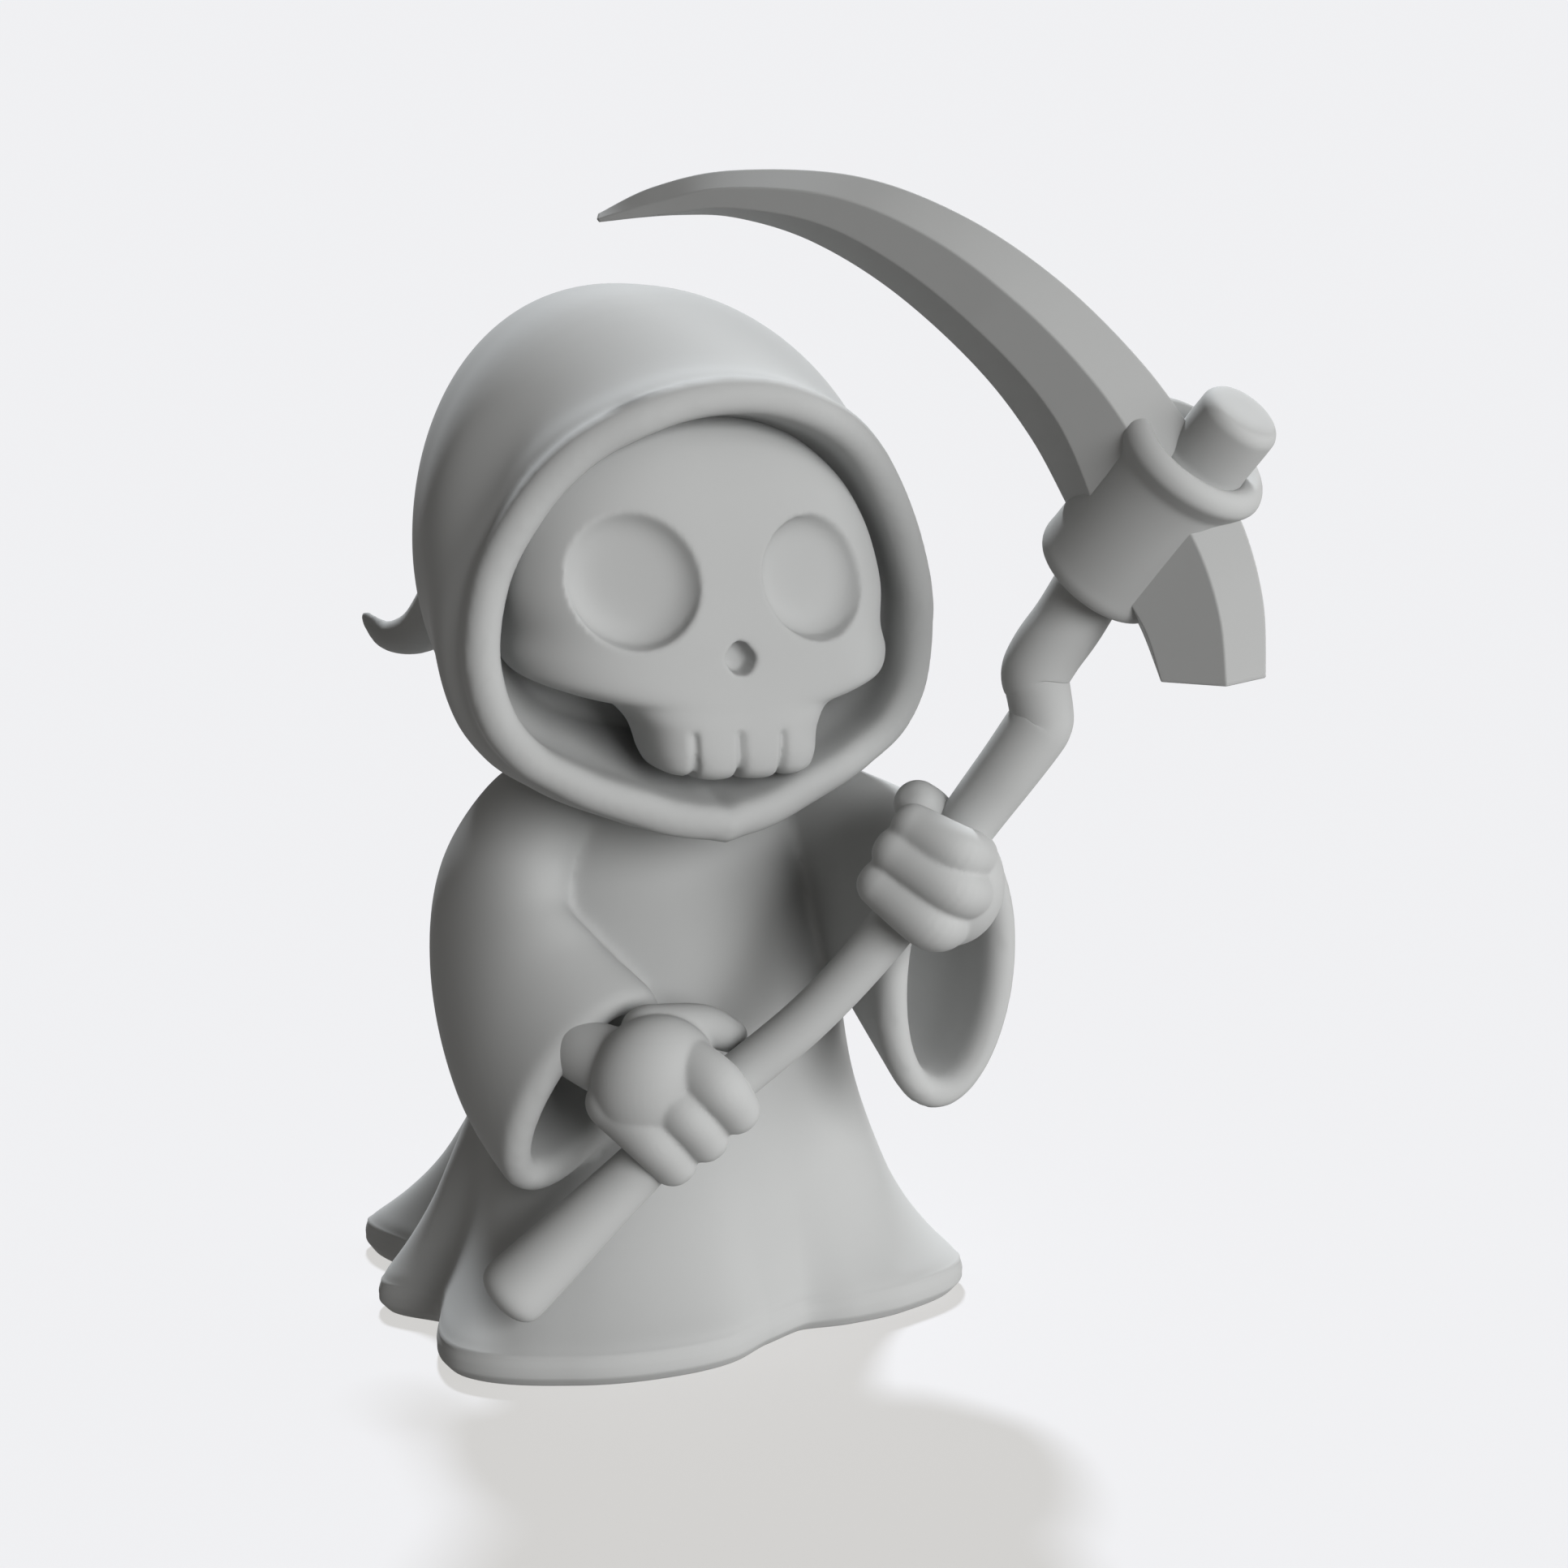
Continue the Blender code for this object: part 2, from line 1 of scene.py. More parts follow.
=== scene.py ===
"""A small cast figure of the folk reaper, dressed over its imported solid.

The robe, hood, skull, fists and scythe are one grey casting. Each class holds the sizes of one
part of it in millimetres, and builds that part in metres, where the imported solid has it.
"""

import logging
import math
from collections.abc import Callable, Sequence
from dataclasses import dataclass, field
from enum import Enum
from functools import partial

import bmesh
import bpy
import numpy as np
from mathutils import Matrix, Vector


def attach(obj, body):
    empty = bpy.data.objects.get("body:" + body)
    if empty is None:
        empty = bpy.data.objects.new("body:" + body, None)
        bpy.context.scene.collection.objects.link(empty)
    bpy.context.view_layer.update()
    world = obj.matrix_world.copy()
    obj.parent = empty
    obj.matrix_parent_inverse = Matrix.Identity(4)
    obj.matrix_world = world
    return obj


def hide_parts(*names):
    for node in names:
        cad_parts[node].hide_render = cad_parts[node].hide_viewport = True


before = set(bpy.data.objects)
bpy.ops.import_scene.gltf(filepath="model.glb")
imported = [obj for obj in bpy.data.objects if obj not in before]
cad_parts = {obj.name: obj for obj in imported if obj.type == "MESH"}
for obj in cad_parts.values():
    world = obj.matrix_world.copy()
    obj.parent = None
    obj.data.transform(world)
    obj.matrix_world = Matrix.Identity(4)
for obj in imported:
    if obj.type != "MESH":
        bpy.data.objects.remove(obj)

MM = 0.001
TURN = 2.0 * math.pi
BODY = "root"
NODE = "reaper"
ROD_SIDE = (0.3, 0.9, 0.2)
CLOUD_SCALE = 110.0
GRAIN_SCALE = 2600.0
NIB_SCALE = 160.0
NIB_SIZE = 0.035
NIB_HEIGHT = 12.0
GLOSS_MOTTLE = 0.12

logging.basicConfig(level=logging.INFO, format="%(message)s")
log = logging.getLogger("reaper")

Row = tuple[float, ...]
Rows = Sequence[Row]
Net = np.ndarray


class Side(Enum):
    """The figure's own right and left."""

    RIGHT = -1
    LEFT = 1


class Curve:
    """A smooth line through rows that never swings past a turning point."""

    def __init__(self, rows: Rows) -> None:
        """Work out the slopes at the rows.

        Args:
            rows: A place, followed by the values there, in rising order of place.
        """
        table = np.asarray(rows, float)
        self.places = table[:, 0]
        self.values = table[:, 1:]
        self.gaps = np.diff(self.places)
        rises = np.diff(self.values, axis=0) / self.gaps[:, None]
        slopes = np.zeros_like(self.values)
        before = rises[:-1]
        after = rises[1:]
        same = before * after > 0
        slopes[1:-1] = np.where(same, 2 * before * after / np.where(same, before + after, 1.0), 0.0)
        self.slopes = slopes

    def at(self, place: Net | float) -> Net:
        """Values at each place.

        Args:
            place: One place or an array of them.

        Returns:
            The values, with one more axis than the places.
        """
        where = np.clip(np.asarray(place, float), self.places[0], self.places[-1])
        index = np.clip(np.searchsorted(self.places, where, side="right") - 1, 0, len(self.gaps) - 1)
        gap = self.gaps[index][..., None]
        part = ((where - self.places[index]) / self.gaps[index])[..., None]
        low = self.values[index]
        high = self.values[index + 1]
        ease = part * part * (3 - 2 * part)
        start = part * (1 - part) ** 2 * gap * self.slopes[index]
        end = part * part * (1 - part) * gap * self.slopes[index + 1]
        return low + (high - low) * ease + start - end


def through(rows: Rows, share: float) -> Net:
    """A smooth line through evenly placed rows.

    Args:
        rows: The values to pass through.
        share: The way from the first row to the last, 0 to 1.

    Returns:
        The values at that share.
    """
    table = np.asarray(rows, float)
    place = min(max(share, 0.0), 1.0) * (len(table) - 1)
    index = min(int(place), len(table) - 2)
    part = place - index
    before = table[max(index - 1, 0)]
    start = table[index]
    end = table[index + 1]
    after = table[min(index + 2, len(table) - 1)]
    bend = 2 * before - 5 * start + 4 * end - after
    twist = 3 * start - before - 3 * end + after
    return 0.5 * (2 * start + (end - before) * part + bend * part**2 + twist * part**3)


def between(net: Net, steps: int) -> Net:
    """Rings on a smooth line through each column of a net of points.

    Args:
        net: Points as rows, columns and x, y, z.
        steps: How many rings stand for each gap between two rows.

    Returns:
        The finer net, with the given rows among its own.
    """
    gaps = np.sqrt(np.maximum(np.linalg.norm(np.diff(net, axis=0), axis=2), 1e-4))[..., None]
    rises = np.diff(net, axis=0) / gaps
    slopes = np.empty_like(net)
    slopes[0] = rises[0]
    slopes[-1] = rises[-1]
    chords = (net[2:] - net[:-2]) / (gaps[:-1] + gaps[1:])
    slopes[1:-1] = rises[:-1] - chords + rises[1:]
    rings = []
    for index in range(len(net) - 1):
        for step in range(steps):
            part = step / steps
            ease = part * part * (3 - 2 * part)
            start = part * (1 - part) ** 2 * gaps[index] * slopes[index]
            end = part * part * (1 - part) * gaps[index] * slopes[index + 1]
            rings.append(net[index] + (net[index + 1] - net[index]) * ease + start - end)
    rings.append(net[-1])
    return np.array(rings)


def unit(vector: Sequence[float] | Net) -> Net:
    """The vector with a length of one."""
    array = np.asarray(vector, float)
    return array / np.linalg.norm(array)


def turns(around: int) -> Net:
    """Angles of a ring's points."""
    return np.arange(around) / around * TURN


def oval(centre: Net, face: Net, hang: Net, long_half: float, short_half: float, angles: Net) -> Net:
    """A ring that faces one way and hangs another.

    Args:
        centre: Its middle.
        face: The way it faces.
        hang: The way its long axis hangs.
        long_half: Half its length along that axis.
        short_half: Half its width.
        angles: The angles of its points from the long axis.

    Returns:
        The ring's points.
    """
    normal = unit(face)
    hang = unit(hang - normal * np.dot(hang, normal))
    side = np.cross(normal, hang)
    long_part = np.cos(angles)[:, None] * long_half * hang
    return centre + long_part + np.sin(angles)[:, None] * short_half * side


def loft(rings: Net) -> bmesh.types.BMesh:
    """Extrude a circle from ring to ring; a ring drawn together at one point closes an end.

    Args:
        rings: Points in millimetres as rings, places round the ring and x, y, z.

    Returns:
        The closed skin with its faces outwards.
    """
    work = bmesh.new()
    around = rings.shape[1]
    made = bmesh.ops.create_circle(work, cap_ends=False, radius=1.0, segments=around)
    ring = list(made["verts"])
    for vertex, spot in zip(ring, rings[0]):
        vertex.co = Vector(spot) * MM
    for spots in rings[1:]:
        edges = [work.edges.get((ring[index - 1], ring[index])) for index in range(around)]
        made = bmesh.ops.extrude_edge_only(work, edges=edges)
        fresh = {item for item in made["geom"] if isinstance(item, bmesh.types.BMVert)}
        follow = []
        for vertex in ring:
            ends = (edge.other_vert(vertex) for edge in vertex.link_edges)
            follow.append(next(end for end in ends if end in fresh))
        ring = follow
        for vertex, spot in zip(ring, spots):
            vertex.co = Vector(spot) * MM
    bmesh.ops.remove_doubles(work, verts=work.verts, dist=1e-6)
    bmesh.ops.recalc_face_normals(work, faces=work.faces)
    return work


def ball(middle: Sequence[float], halves: Sequence[float], segments: int = 48) -> bmesh.types.BMesh:
    """An egg of three half sizes in millimetres."""
    work = bmesh.new()
    place = Matrix.Translation(Vector(middle) * MM) @ Matrix.Diagonal((*(Vector(halves) * MM), 1.0))
    bmesh.ops.create_uvsphere(work, u_segments=segments, v_segments=segments // 2, radius=1.0, matrix=place)
    return work


def rod(rows: Rows, along: int, around: int, blunt: float = 1.0, caps: int = 6) -> bmesh.types.BMesh:
    """A round rod with domed ends.

    Args:
        rows: Middle line and radius in millimetres, x, y, z, radius.
        along: How many rings lie between the ends.
        around: Points in a ring.
        blunt: Height of the domes against the radius.
        caps: Rings in each dome.

    Returns:
        The closed rod.
    """
    angles = turns(around)
    spots = [through(rows, number / along) for number in range(along + 1)]
    rings = []
    for place in range(along + 2 * caps + 1):
        index = min(max(place - caps, 0), along)
        ahead = spots[min(index + 1, along)]
        behind = spots[max(index - 1, 0)]
        way = unit(ahead[0:3] - behind[0:3])
        side = unit(np.cross(way, ROD_SIDE))
        other = np.cross(way, side)
        size = spots[index][3]
        reach = 0.0
        over = caps - place if place < caps else place - along - caps
        if over > 0:
            turn = 0.5 * math.pi * over / caps
            size *= max(math.cos(turn), 0.0) ** 0.8 if over < caps else 0.0
            reach = blunt * spots[index][3] * math.sin(turn) * (-1 if place < caps else 1)
        ring = np.cos(angles)[:, None] * side + np.sin(angles)[:, None] * other
        rings.append(spots[index][0:3] + way * reach + ring * size)
    return loft(np.array(rings))


def as_object(name: str, parts: Sequence[bmesh.types.BMesh]) -> bpy.types.Object:
    """One object of several closed skins.

    Args:
        name: The piece's name.
        parts: Its skins, which are freed.

    Returns:
        The object, smooth shaded.
    """
    whole = bmesh.new()
    for part in parts:
        step = bpy.data.meshes.new("step")
        part.to_mesh(step)
        part.free()
        whole.from_mesh(step)
        bpy.data.meshes.remove(step)
    mesh = bpy.data.meshes.new(name)
    whole.to_mesh(mesh)
    whole.free()
    mesh.shade_smooth()
    made = bpy.data.objects.new(name, mesh)
    bpy.context.collection.objects.link(made)
    return made


def settle(made: bpy.types.Object) -> None:
    """Make the object's modifiers part of its mesh."""
    graph = bpy.context.evaluated_depsgraph_get()
    result = bpy.data.meshes.new_from_object(made.evaluated_get(graph))
    made.modifiers.clear()
    old = made.data
    made.data = result
    bpy.data.meshes.remove(old)
    result.name = made.name
    result.shade_smooth()


def fuse(made: bpy.types.Object, grain: float, passes: int) -> None:
    """Cast the object's overlapping skins as one, with a small fillet where they meet.

    Args:
        made: The object.
        grain: Size of the cells in millimetres.
        passes: How often the skin is smoothed.
    """
    step = made.modifiers.new("cast", "REMESH")
    step.mode = "VOXEL"
    step.voxel_size = grain * MM
    step.use_smooth_shade = True
    settle(made)
    ease(made, passes)


def ease(made: bpy.types.Object, passes: int) -> None:
    """Smooth the object's skin a number of times."""
    work = bmesh.new()
    work.from_mesh(made.data)
    for _ in range(passes):
        bmesh.ops.smooth_vert(
            work, verts=work.verts, factor=0.5, use_axis_x=True, use_axis_y=True, use_axis_z=True
        )
    work.to_mesh(made.data)
    work.free()
    made.data.shade_smooth()


def points_of(made: bpy.types.Object) -> Net:
    """The object's points in millimetres."""
    flat = np.empty(len(made.data.vertices) * 3)
    made.data.vertices.foreach_get("co", flat)
    return flat.reshape(-1, 3) / MM


def move_points(made: bpy.types.Object, points: Net) -> None:
    """Put the object's points where the given ones are, in millimetres."""
    made.data.vertices.foreach_set("co", (points * MM).ravel())
    made.data.update()


def soft_low(first: Net, second: Net, width: float) -> Net:
    """The lower of two heights, rounded where they cross."""
    close = np.maximum(width - np.abs(first - second), 0.0) / width
    return np.minimum(first, second) - close * close * width / 4


@dataclass
class Cloak:
    """The robe with its lobed, banded hem, and both bell sleeves.

    A hem row is a bearing and a radius. A core row is a height, half the width, half the depth and
    how far back the middle stands. The robe is held in by the tuck where the hem covers it, and its
    foot is brought to the hem's shape up to the blend's height above the hem.
    """

    hem: Rows = (
        (-153, 35.0),
        (-133, 31.6),
        (-115, 28.0),
        (-99, 25.0),
        (-84, 21.5),
        (-70, 20.5),
        (-55, 23.9),
        (-42, 27.8),
        (-24, 32.2),
        (-3, 27.0),
        (14, 33.0),
        (35, 28.0),
        (55, 36.0),
        (75, 29.0),
        (96, 36.0),
        (115, 29.0),
        (134, 38.0),
        (151, 28.5),
        (168, 32.8),
        (181, 28.0),
        (207, 35.0),
    )
    core: Rows = (
        (0, 24.0, 21.0, 3.0),
        (14, 22.6, 19.6, 2.4),
        (26, 20.2, 17.2, 1.4),
        (40, 18.6, 15.6, 1.0),
        (52, 16.6, 13.4, 1.0),
        (60, 12.0, 10.0, 1.0),
        (66, 8.0, 7.0, 1.0),
    )
    rim_height: float = 3.4
    chamfer: float = 1.2
    flare_length: float = 7.0
    pleat_length: float = 17.0
    pleat_depth: float = 0.42
    pleat_middle: float = 31.5
    hem_top: float = 12.0
    lap: float = 4.0
    tuck: float = 0.5
    tuck_rise: float = 2.0
    blend: float = 9.0
    blend_length: float = 7.0
    neck: float = 65.5
    sleeves: dict[Side, Rows] = field(
        default_factory=lambda: {
            Side.RIGHT: (
                (-9.4, 2, 57.2, -0.8, 0.0, -0.6, 0.2, 1.0, -0.2, 4.0, 3.6),
                (-13, 1.8, 56, -0.7, -0.1, -0.7, 0.1, 1.0, -0.2, 8.4, 6.2),
                (-17.9, 1.8, 50, -0.35, -0.2, -0.9, -0.1, 1.0, -0.3, 10.2, 6.3),
                (-20.1, -0.5, 42.5, 0.0, -0.55, -0.83, -0.2, 0.9, -0.6, 11.4, 6.2),
                (-19.3, -7.5, 35, 0.18, -0.84, -0.5, -0.42, 0.5, -0.85, 12.2, 7.1),
                (-16.9, -15.5, 30, 0.28, -0.92, -0.27, -0.55, 0.05, -0.84, 12.6, 7.8),
            ),
            Side.LEFT: (
                (8.4, 1.5, 57.2, 0.7, -0.5, -0.5, 0.6, 0.8, -0.3, 4.0, 3.6),
                (12.6, 0.5, 56, 0.7, -0.45, -0.55, 0.5, 0.8, -0.4, 8.4, 6.2),
                (16.8, -4.0, 51.5, 0.45, -0.75, -0.5, 0.4, 0.5, -0.8, 10.8, 6.6),
                (19.4, -12.5, 45.8, 0.25, -0.93, -0.25, 0.1, 0.1, -1.0, 13.0, 7.4),
                (20.9, -25.0, 40.6, 0.1, -0.98, -0.06, -0.03, 0.05, -1.0, 15.6, 8.6),
            ),
        }
    )
    lip: float = 3.4
    hollow: float = 14.0
    cell: float = 0.49

    def spread(self, height: Net | float, bearings: Net) -> tuple[Net, Net]:
        """Size of the robe's skin.

        Args:
            height: The height above the ground, one or an array.
            bearings: Angles round the robe, in degrees.

        Returns:
            The radius there, and how far back the robe's middle stands.
        """
        wide, deep, back = Curve(self.core).at(height).T
        side = np.cos(np.radians(bearings))
        fore = np.sin(np.radians(bearings))
        core = 1.0 / np.sqrt((side / wide) ** 2 + (fore / deep) ** 2)
        start = self.hem[0][0]
        hem = Curve(self.hem).at((bearings - start) % 360 + start)[:, 0]
        rise = np.maximum(height - self.rim_height, 0.0)
        flare = np.exp(-rise / self.flare_length)
        behind = np.clip((fore + 0.55 * np.abs(side) - 0.1) / 0.5, 0.0, 1.0)
        fade = np.exp(-rise / self.pleat_length)
        pleat = behind * self.pleat_depth * (hem - self.pleat_middle) * fade * (1 - flare)
        return core + (hem - core) * flare + pleat, back * (1 - flare)

    def bearings(self, around: int) -> Net:
        """Angles of a ring's points in degrees, from the hem's first row."""
        return np.arange(around) / around * 360 + self.hem[0][0]

    def ring(self, height: float, inset: float, bearings: Net) -> Net:
        """Points of the robe's skin at one height.

        Args:
            height: The height above the ground.
            inset: How far the ring is pulled in.
            bearings: Angles round the robe, in degrees.

        Returns:
            The ring.
        """
        radius, back = self.spread(height, bearings)
        x = (radius - inset) * np.cos(np.radians(bearings))
        y = (radius - inset) * np.sin(np.radians(bearings)) + back
        return np.stack([x, y, np.full_like(y, height)], axis=1)

    def held(self, height: Net | float) -> Net:
        """How far the robe is held in at a height, where the hem covers it."""
        return self.tuck * np.clip((self.hem_top - self.tuck_rise - height) / self.tuck_rise, 0.0, 1.0)

    def true_up(self, points: Net) -> Net:
        """Bring the cast robe's foot back to the hem's own shape, so that the two meet smoothly.

        Args:
            points: The cast robe's points.

        Returns:
            The points, moved where they are low and already near the hem's shape.
        """
        height = points[:, 2]
        _, back = self.spread(height, np.zeros_like(height))
        x = points[:, 0]
        y = points[:, 1] - back
        real = np.hypot(x, y)
        radius, _ = self.spread(height, np.degrees(np.arctan2(y, x)))
        change = radius - self.held(height) - real
        share = np.clip((self.hem_top + self.blend - height) / self.blend_length, 0.0, 1.0)
        weight = share * share * (3 - 2 * share) * np.clip(2.0 - np.abs(change), 0.0, 1.0)
        scale = (1 + weight * change / np.maximum(real, 1.0))[:, None]
        middle = np.stack([np.zeros_like(x), back, height], axis=1)
        return middle + (points - middle) * np.concatenate([scale, scale, np.ones_like(scale)], axis=1)

    def robe(self, around: int = 360) -> bmesh.types.BMesh:
        """The robe from inside the hem to the neck, held in where the hem covers it."""
        bearings = self.bearings(around)
        base = self.hem_top - self.lap
        foot = self.ring(base, 2.0, bearings)
        rings = [foot * (share, share, 1.0) for share in (0.0, 0.25, 0.5, 0.75, 0.9)]
        for height in np.arange(base, self.neck, 0.6):
            rings.append(self.ring(height, float(self.held(height)), bearings))
        top = rings[-1]
        centre = top.mean(axis=0)
        rings += [centre + (top - centre) * share + (0, 0, 1.2) for share in (0.8, 0.4, 0.0)]
        return loft(np.array(rings))

    def hem_skin(self, around: int = 432) -> bmesh.types.BMesh:
        """The flared foot of the robe with its crisp band and flat underside."""
        bearings = self.bearings(around)
        high = self.rim_height
        low = self.chamfer
        band = [(0.0, low), (0.06, low - 0.12), (0.25, low - 0.33), (low - 0.35, 0.3), (low - 0.12, 0.1)]
        band += [(low + 0.12, 0.0), (low + 0.6, 0.0)]
        sole = self.ring(0.0, low + 0.1, bearings)
        rings = [sole * (share, share, 1.0) for share in (0.0, 0.3, 0.6, 0.85, 1.0)]
        rings += [self.ring(height, inset, bearings) for height, inset in band]
        height = low + 1.0
        while height < self.hem_top + 1.6:
            round_off = 0.3 * math.exp(-(((height - high) / 0.7) ** 2))
            over = height - self.hem_top
            sink = 0.012 * max(over, -4.0) + 0.4 * max(over - 0.6, 0.0) ** 1.5
            rings.append(self.ring(height, round_off + sink, bearings))
            height += 0.2 if height < high + 2.0 else 0.4
        top = rings[-1]
        centre = top.mean(axis=0)
        rings += [centre + (top - centre) * share for share in (0.9, 0.5, 0.0)]
        return loft(np.array(rings))

    def sleeve(self, stations: Rows, outside: int = 60, around: int = 150) -> bmesh.types.BMesh:
        """A bell sleeve with a rolled mouth and a blind hollow.

        Args:
            stations: Centre, way faced, way the long axis hangs, long and short half sizes.
            outside: Rings from the shoulder to the mouth.
            around: Points in a ring.

        Returns:
            The closed sleeve.
        """
        angles = turns(around)
        lip = self.lip
        mouth = [(0.0, 0.0), (0.8, 0.4), (1.5, 1.3), (1.5, 2.3), (0.6, lip), (-2.0, lip + 0.4)]
        mouth += [(-7.0, lip + 0.9), (1.5 - self.hollow, lip + 2.2)]
        first = through(stations, 0.0)
        rings = [np.tile(first[0:3], (around, 1))]
        for number in range(outside + 1):
            row = through(stations, number / outside)
            rings.append(oval(row[0:3], row[3:6], row[6:9], row[9], row[10], angles))
        row = through(stations, 1.0)
        normal = unit(row[3:6])
        net = []
        for reach, inset in mouth:
            ring = oval(row[0:3], row[3:6], row[6:9], row[9] - inset, row[10] - inset, angles)
            net.append(ring + normal * reach)
        rings += list(between(np.array(net), 5)[1:])
        rings.append(np.tile(row[0:3] - normal * self.hollow, (around, 1)))
        return loft(np.array(rings))

    def build(self) -> bpy.types.Object:
        """Cast the robe and sleeves as one skin, with the hem it stands on."""
        parts = [self.robe()] + [self.sleeve(rows) for rows in self.sleeves.values()]
        made = as_object("robe", parts)
        fuse(made, self.cell, 7)
        move_points(made, self.true_up(points_of(made)))
        whole = self.hem_skin()
        whole.from_mesh(made.data)
        whole.to_mesh(made.data)
        whole.free()
        made.data.shade_smooth()
        return made


@dataclass
class Hood:
    """The hood: a deep shell with a rolled rim that comes to a point under the chin, and a tail behind.

    A rim row is a bearing from the crown, a radius and how far forward the rim stands. A shell row
    is a depth, the middle's height, half the width, and the rise and drop from the middle.
    """

    x: float = -1.6
    z: float = 80.0
    rim: Rows = (
        (0, 23.6, 21.2),
        (22, 23.7, 20.6),
        (42, 24.2, 18.6),
        (62, 24.5, 16.4),
        (83, 25.6, 15.0),
        (98, 26.6, 15.2),
        (114, 27.2, 17.0),
        (124, 26.6, 18.6),
        (136, 24.9, 20.2),
        (158, 23.2, 22.4),
        (176, 23.2, 23.8),
        (180, 23.6, 24.0),
    )
    shell: Rows = (
        (27.5, 88.0, 0.0, 0.0, 0.0),
        (26.5, 87.5, 7.0, 8.6, 8.0),
        (23.0, 86.5, 14.2, 16.6, 16.5),
        (16.5, 85.0, 20.6, 23.8, 23.0),
        (8.0, 83.2, 24.2, 27.6, 25.0),
        (-1.0, 82.0, 26.2, 28.6, 26.0),
    )
    tail: Rows = (
        (-3, 18, 94, 9.5),
        (-6, 26, 85, 7.6),
        (-10, 34, 75.5, 4.8),
        (-13.5, 40, 69, 2.9),
        (-16.5, 44, 67.6, 1.8),
        (-18.5, 46, 69.6, 0.8),
    )
    lip: float = 3.8
    crown_set: float = 1.3
    chin_set: float = 1.8
    floor: float = -4.0
    cell: float = 0.42

    def front(self, radius: Net, reach: Net, out: float, inset: float, angles: Net) -> Net:
        """A ring near the rim, set forward and drawn in from its outline."""
        size = radius - inset
        aside = self.chin_set * np.maximum(-np.cos(angles), 0.0) ** 1.5
        x = self.x - aside + np.sin(angles) * size
        return np.stack([x, -reach - out, self.z + np.cos(angles) * size], axis=1)

    def skin(self, around: int = 240) -> bmesh.types.BMesh:
        """The shell, the rolled rim and the cavity behind the face."""
        angles = turns(around)
        bearing = np.abs((np.degrees(angles) + 180) % 360 - 180)
        radius, reach = Curve(self.rim).at(bearing).T
        up = np.cos(angles)
        shell = []
        for number in range(9):
            share = (1 - math.cos(math.pi * 0.5 * number / 8)) ** 0.8
            level, middle, wide, rise, drop = through(self.shell, share)
            tall = np.where(up > 0, rise, drop)
            x = self.x - self.crown_set * np.maximum(up, 0.0) ** 2 + np.sin(angles) * wide
            shell.append(np.stack([x, np.full_like(x, level), middle + up * tall], axis=1))
        rows = [(-7.5, -0.8), (-4.9, -0.25), (-3.7, 0.08), (-2.8, -0.05), (-1.3, -0.1), (-0.3, 0.9)]
        rows += [(0.0, 2.1), (-0.6, 3.4), (-2.2, self.lip), (-6.0, self.lip + 0.5)]
        net = shell + [self.front(radius, reach, out, inset, angles) for out, inset in rows]
        size = radius - self.lip - 4.0
        x = self.x + np.sin(angles) * size
        net.append(np.stack([x, np.full_like(x, self.floor - 2.0), self.z + up * size], axis=1))
        rings = list(between(np.array(net), 6))
        rings.append(np.tile((self.x, self.floor, self.z), (around, 1)))
        return loft(np.array(rings))

    def build(self) -> bpy.types.Object:
        """Cast the hood and its tail as one skin."""
        made = as_object("hood", [self.skin(), rod(self.tail, 40, 48)])
        fuse(made, self.cell, 7)
        return made


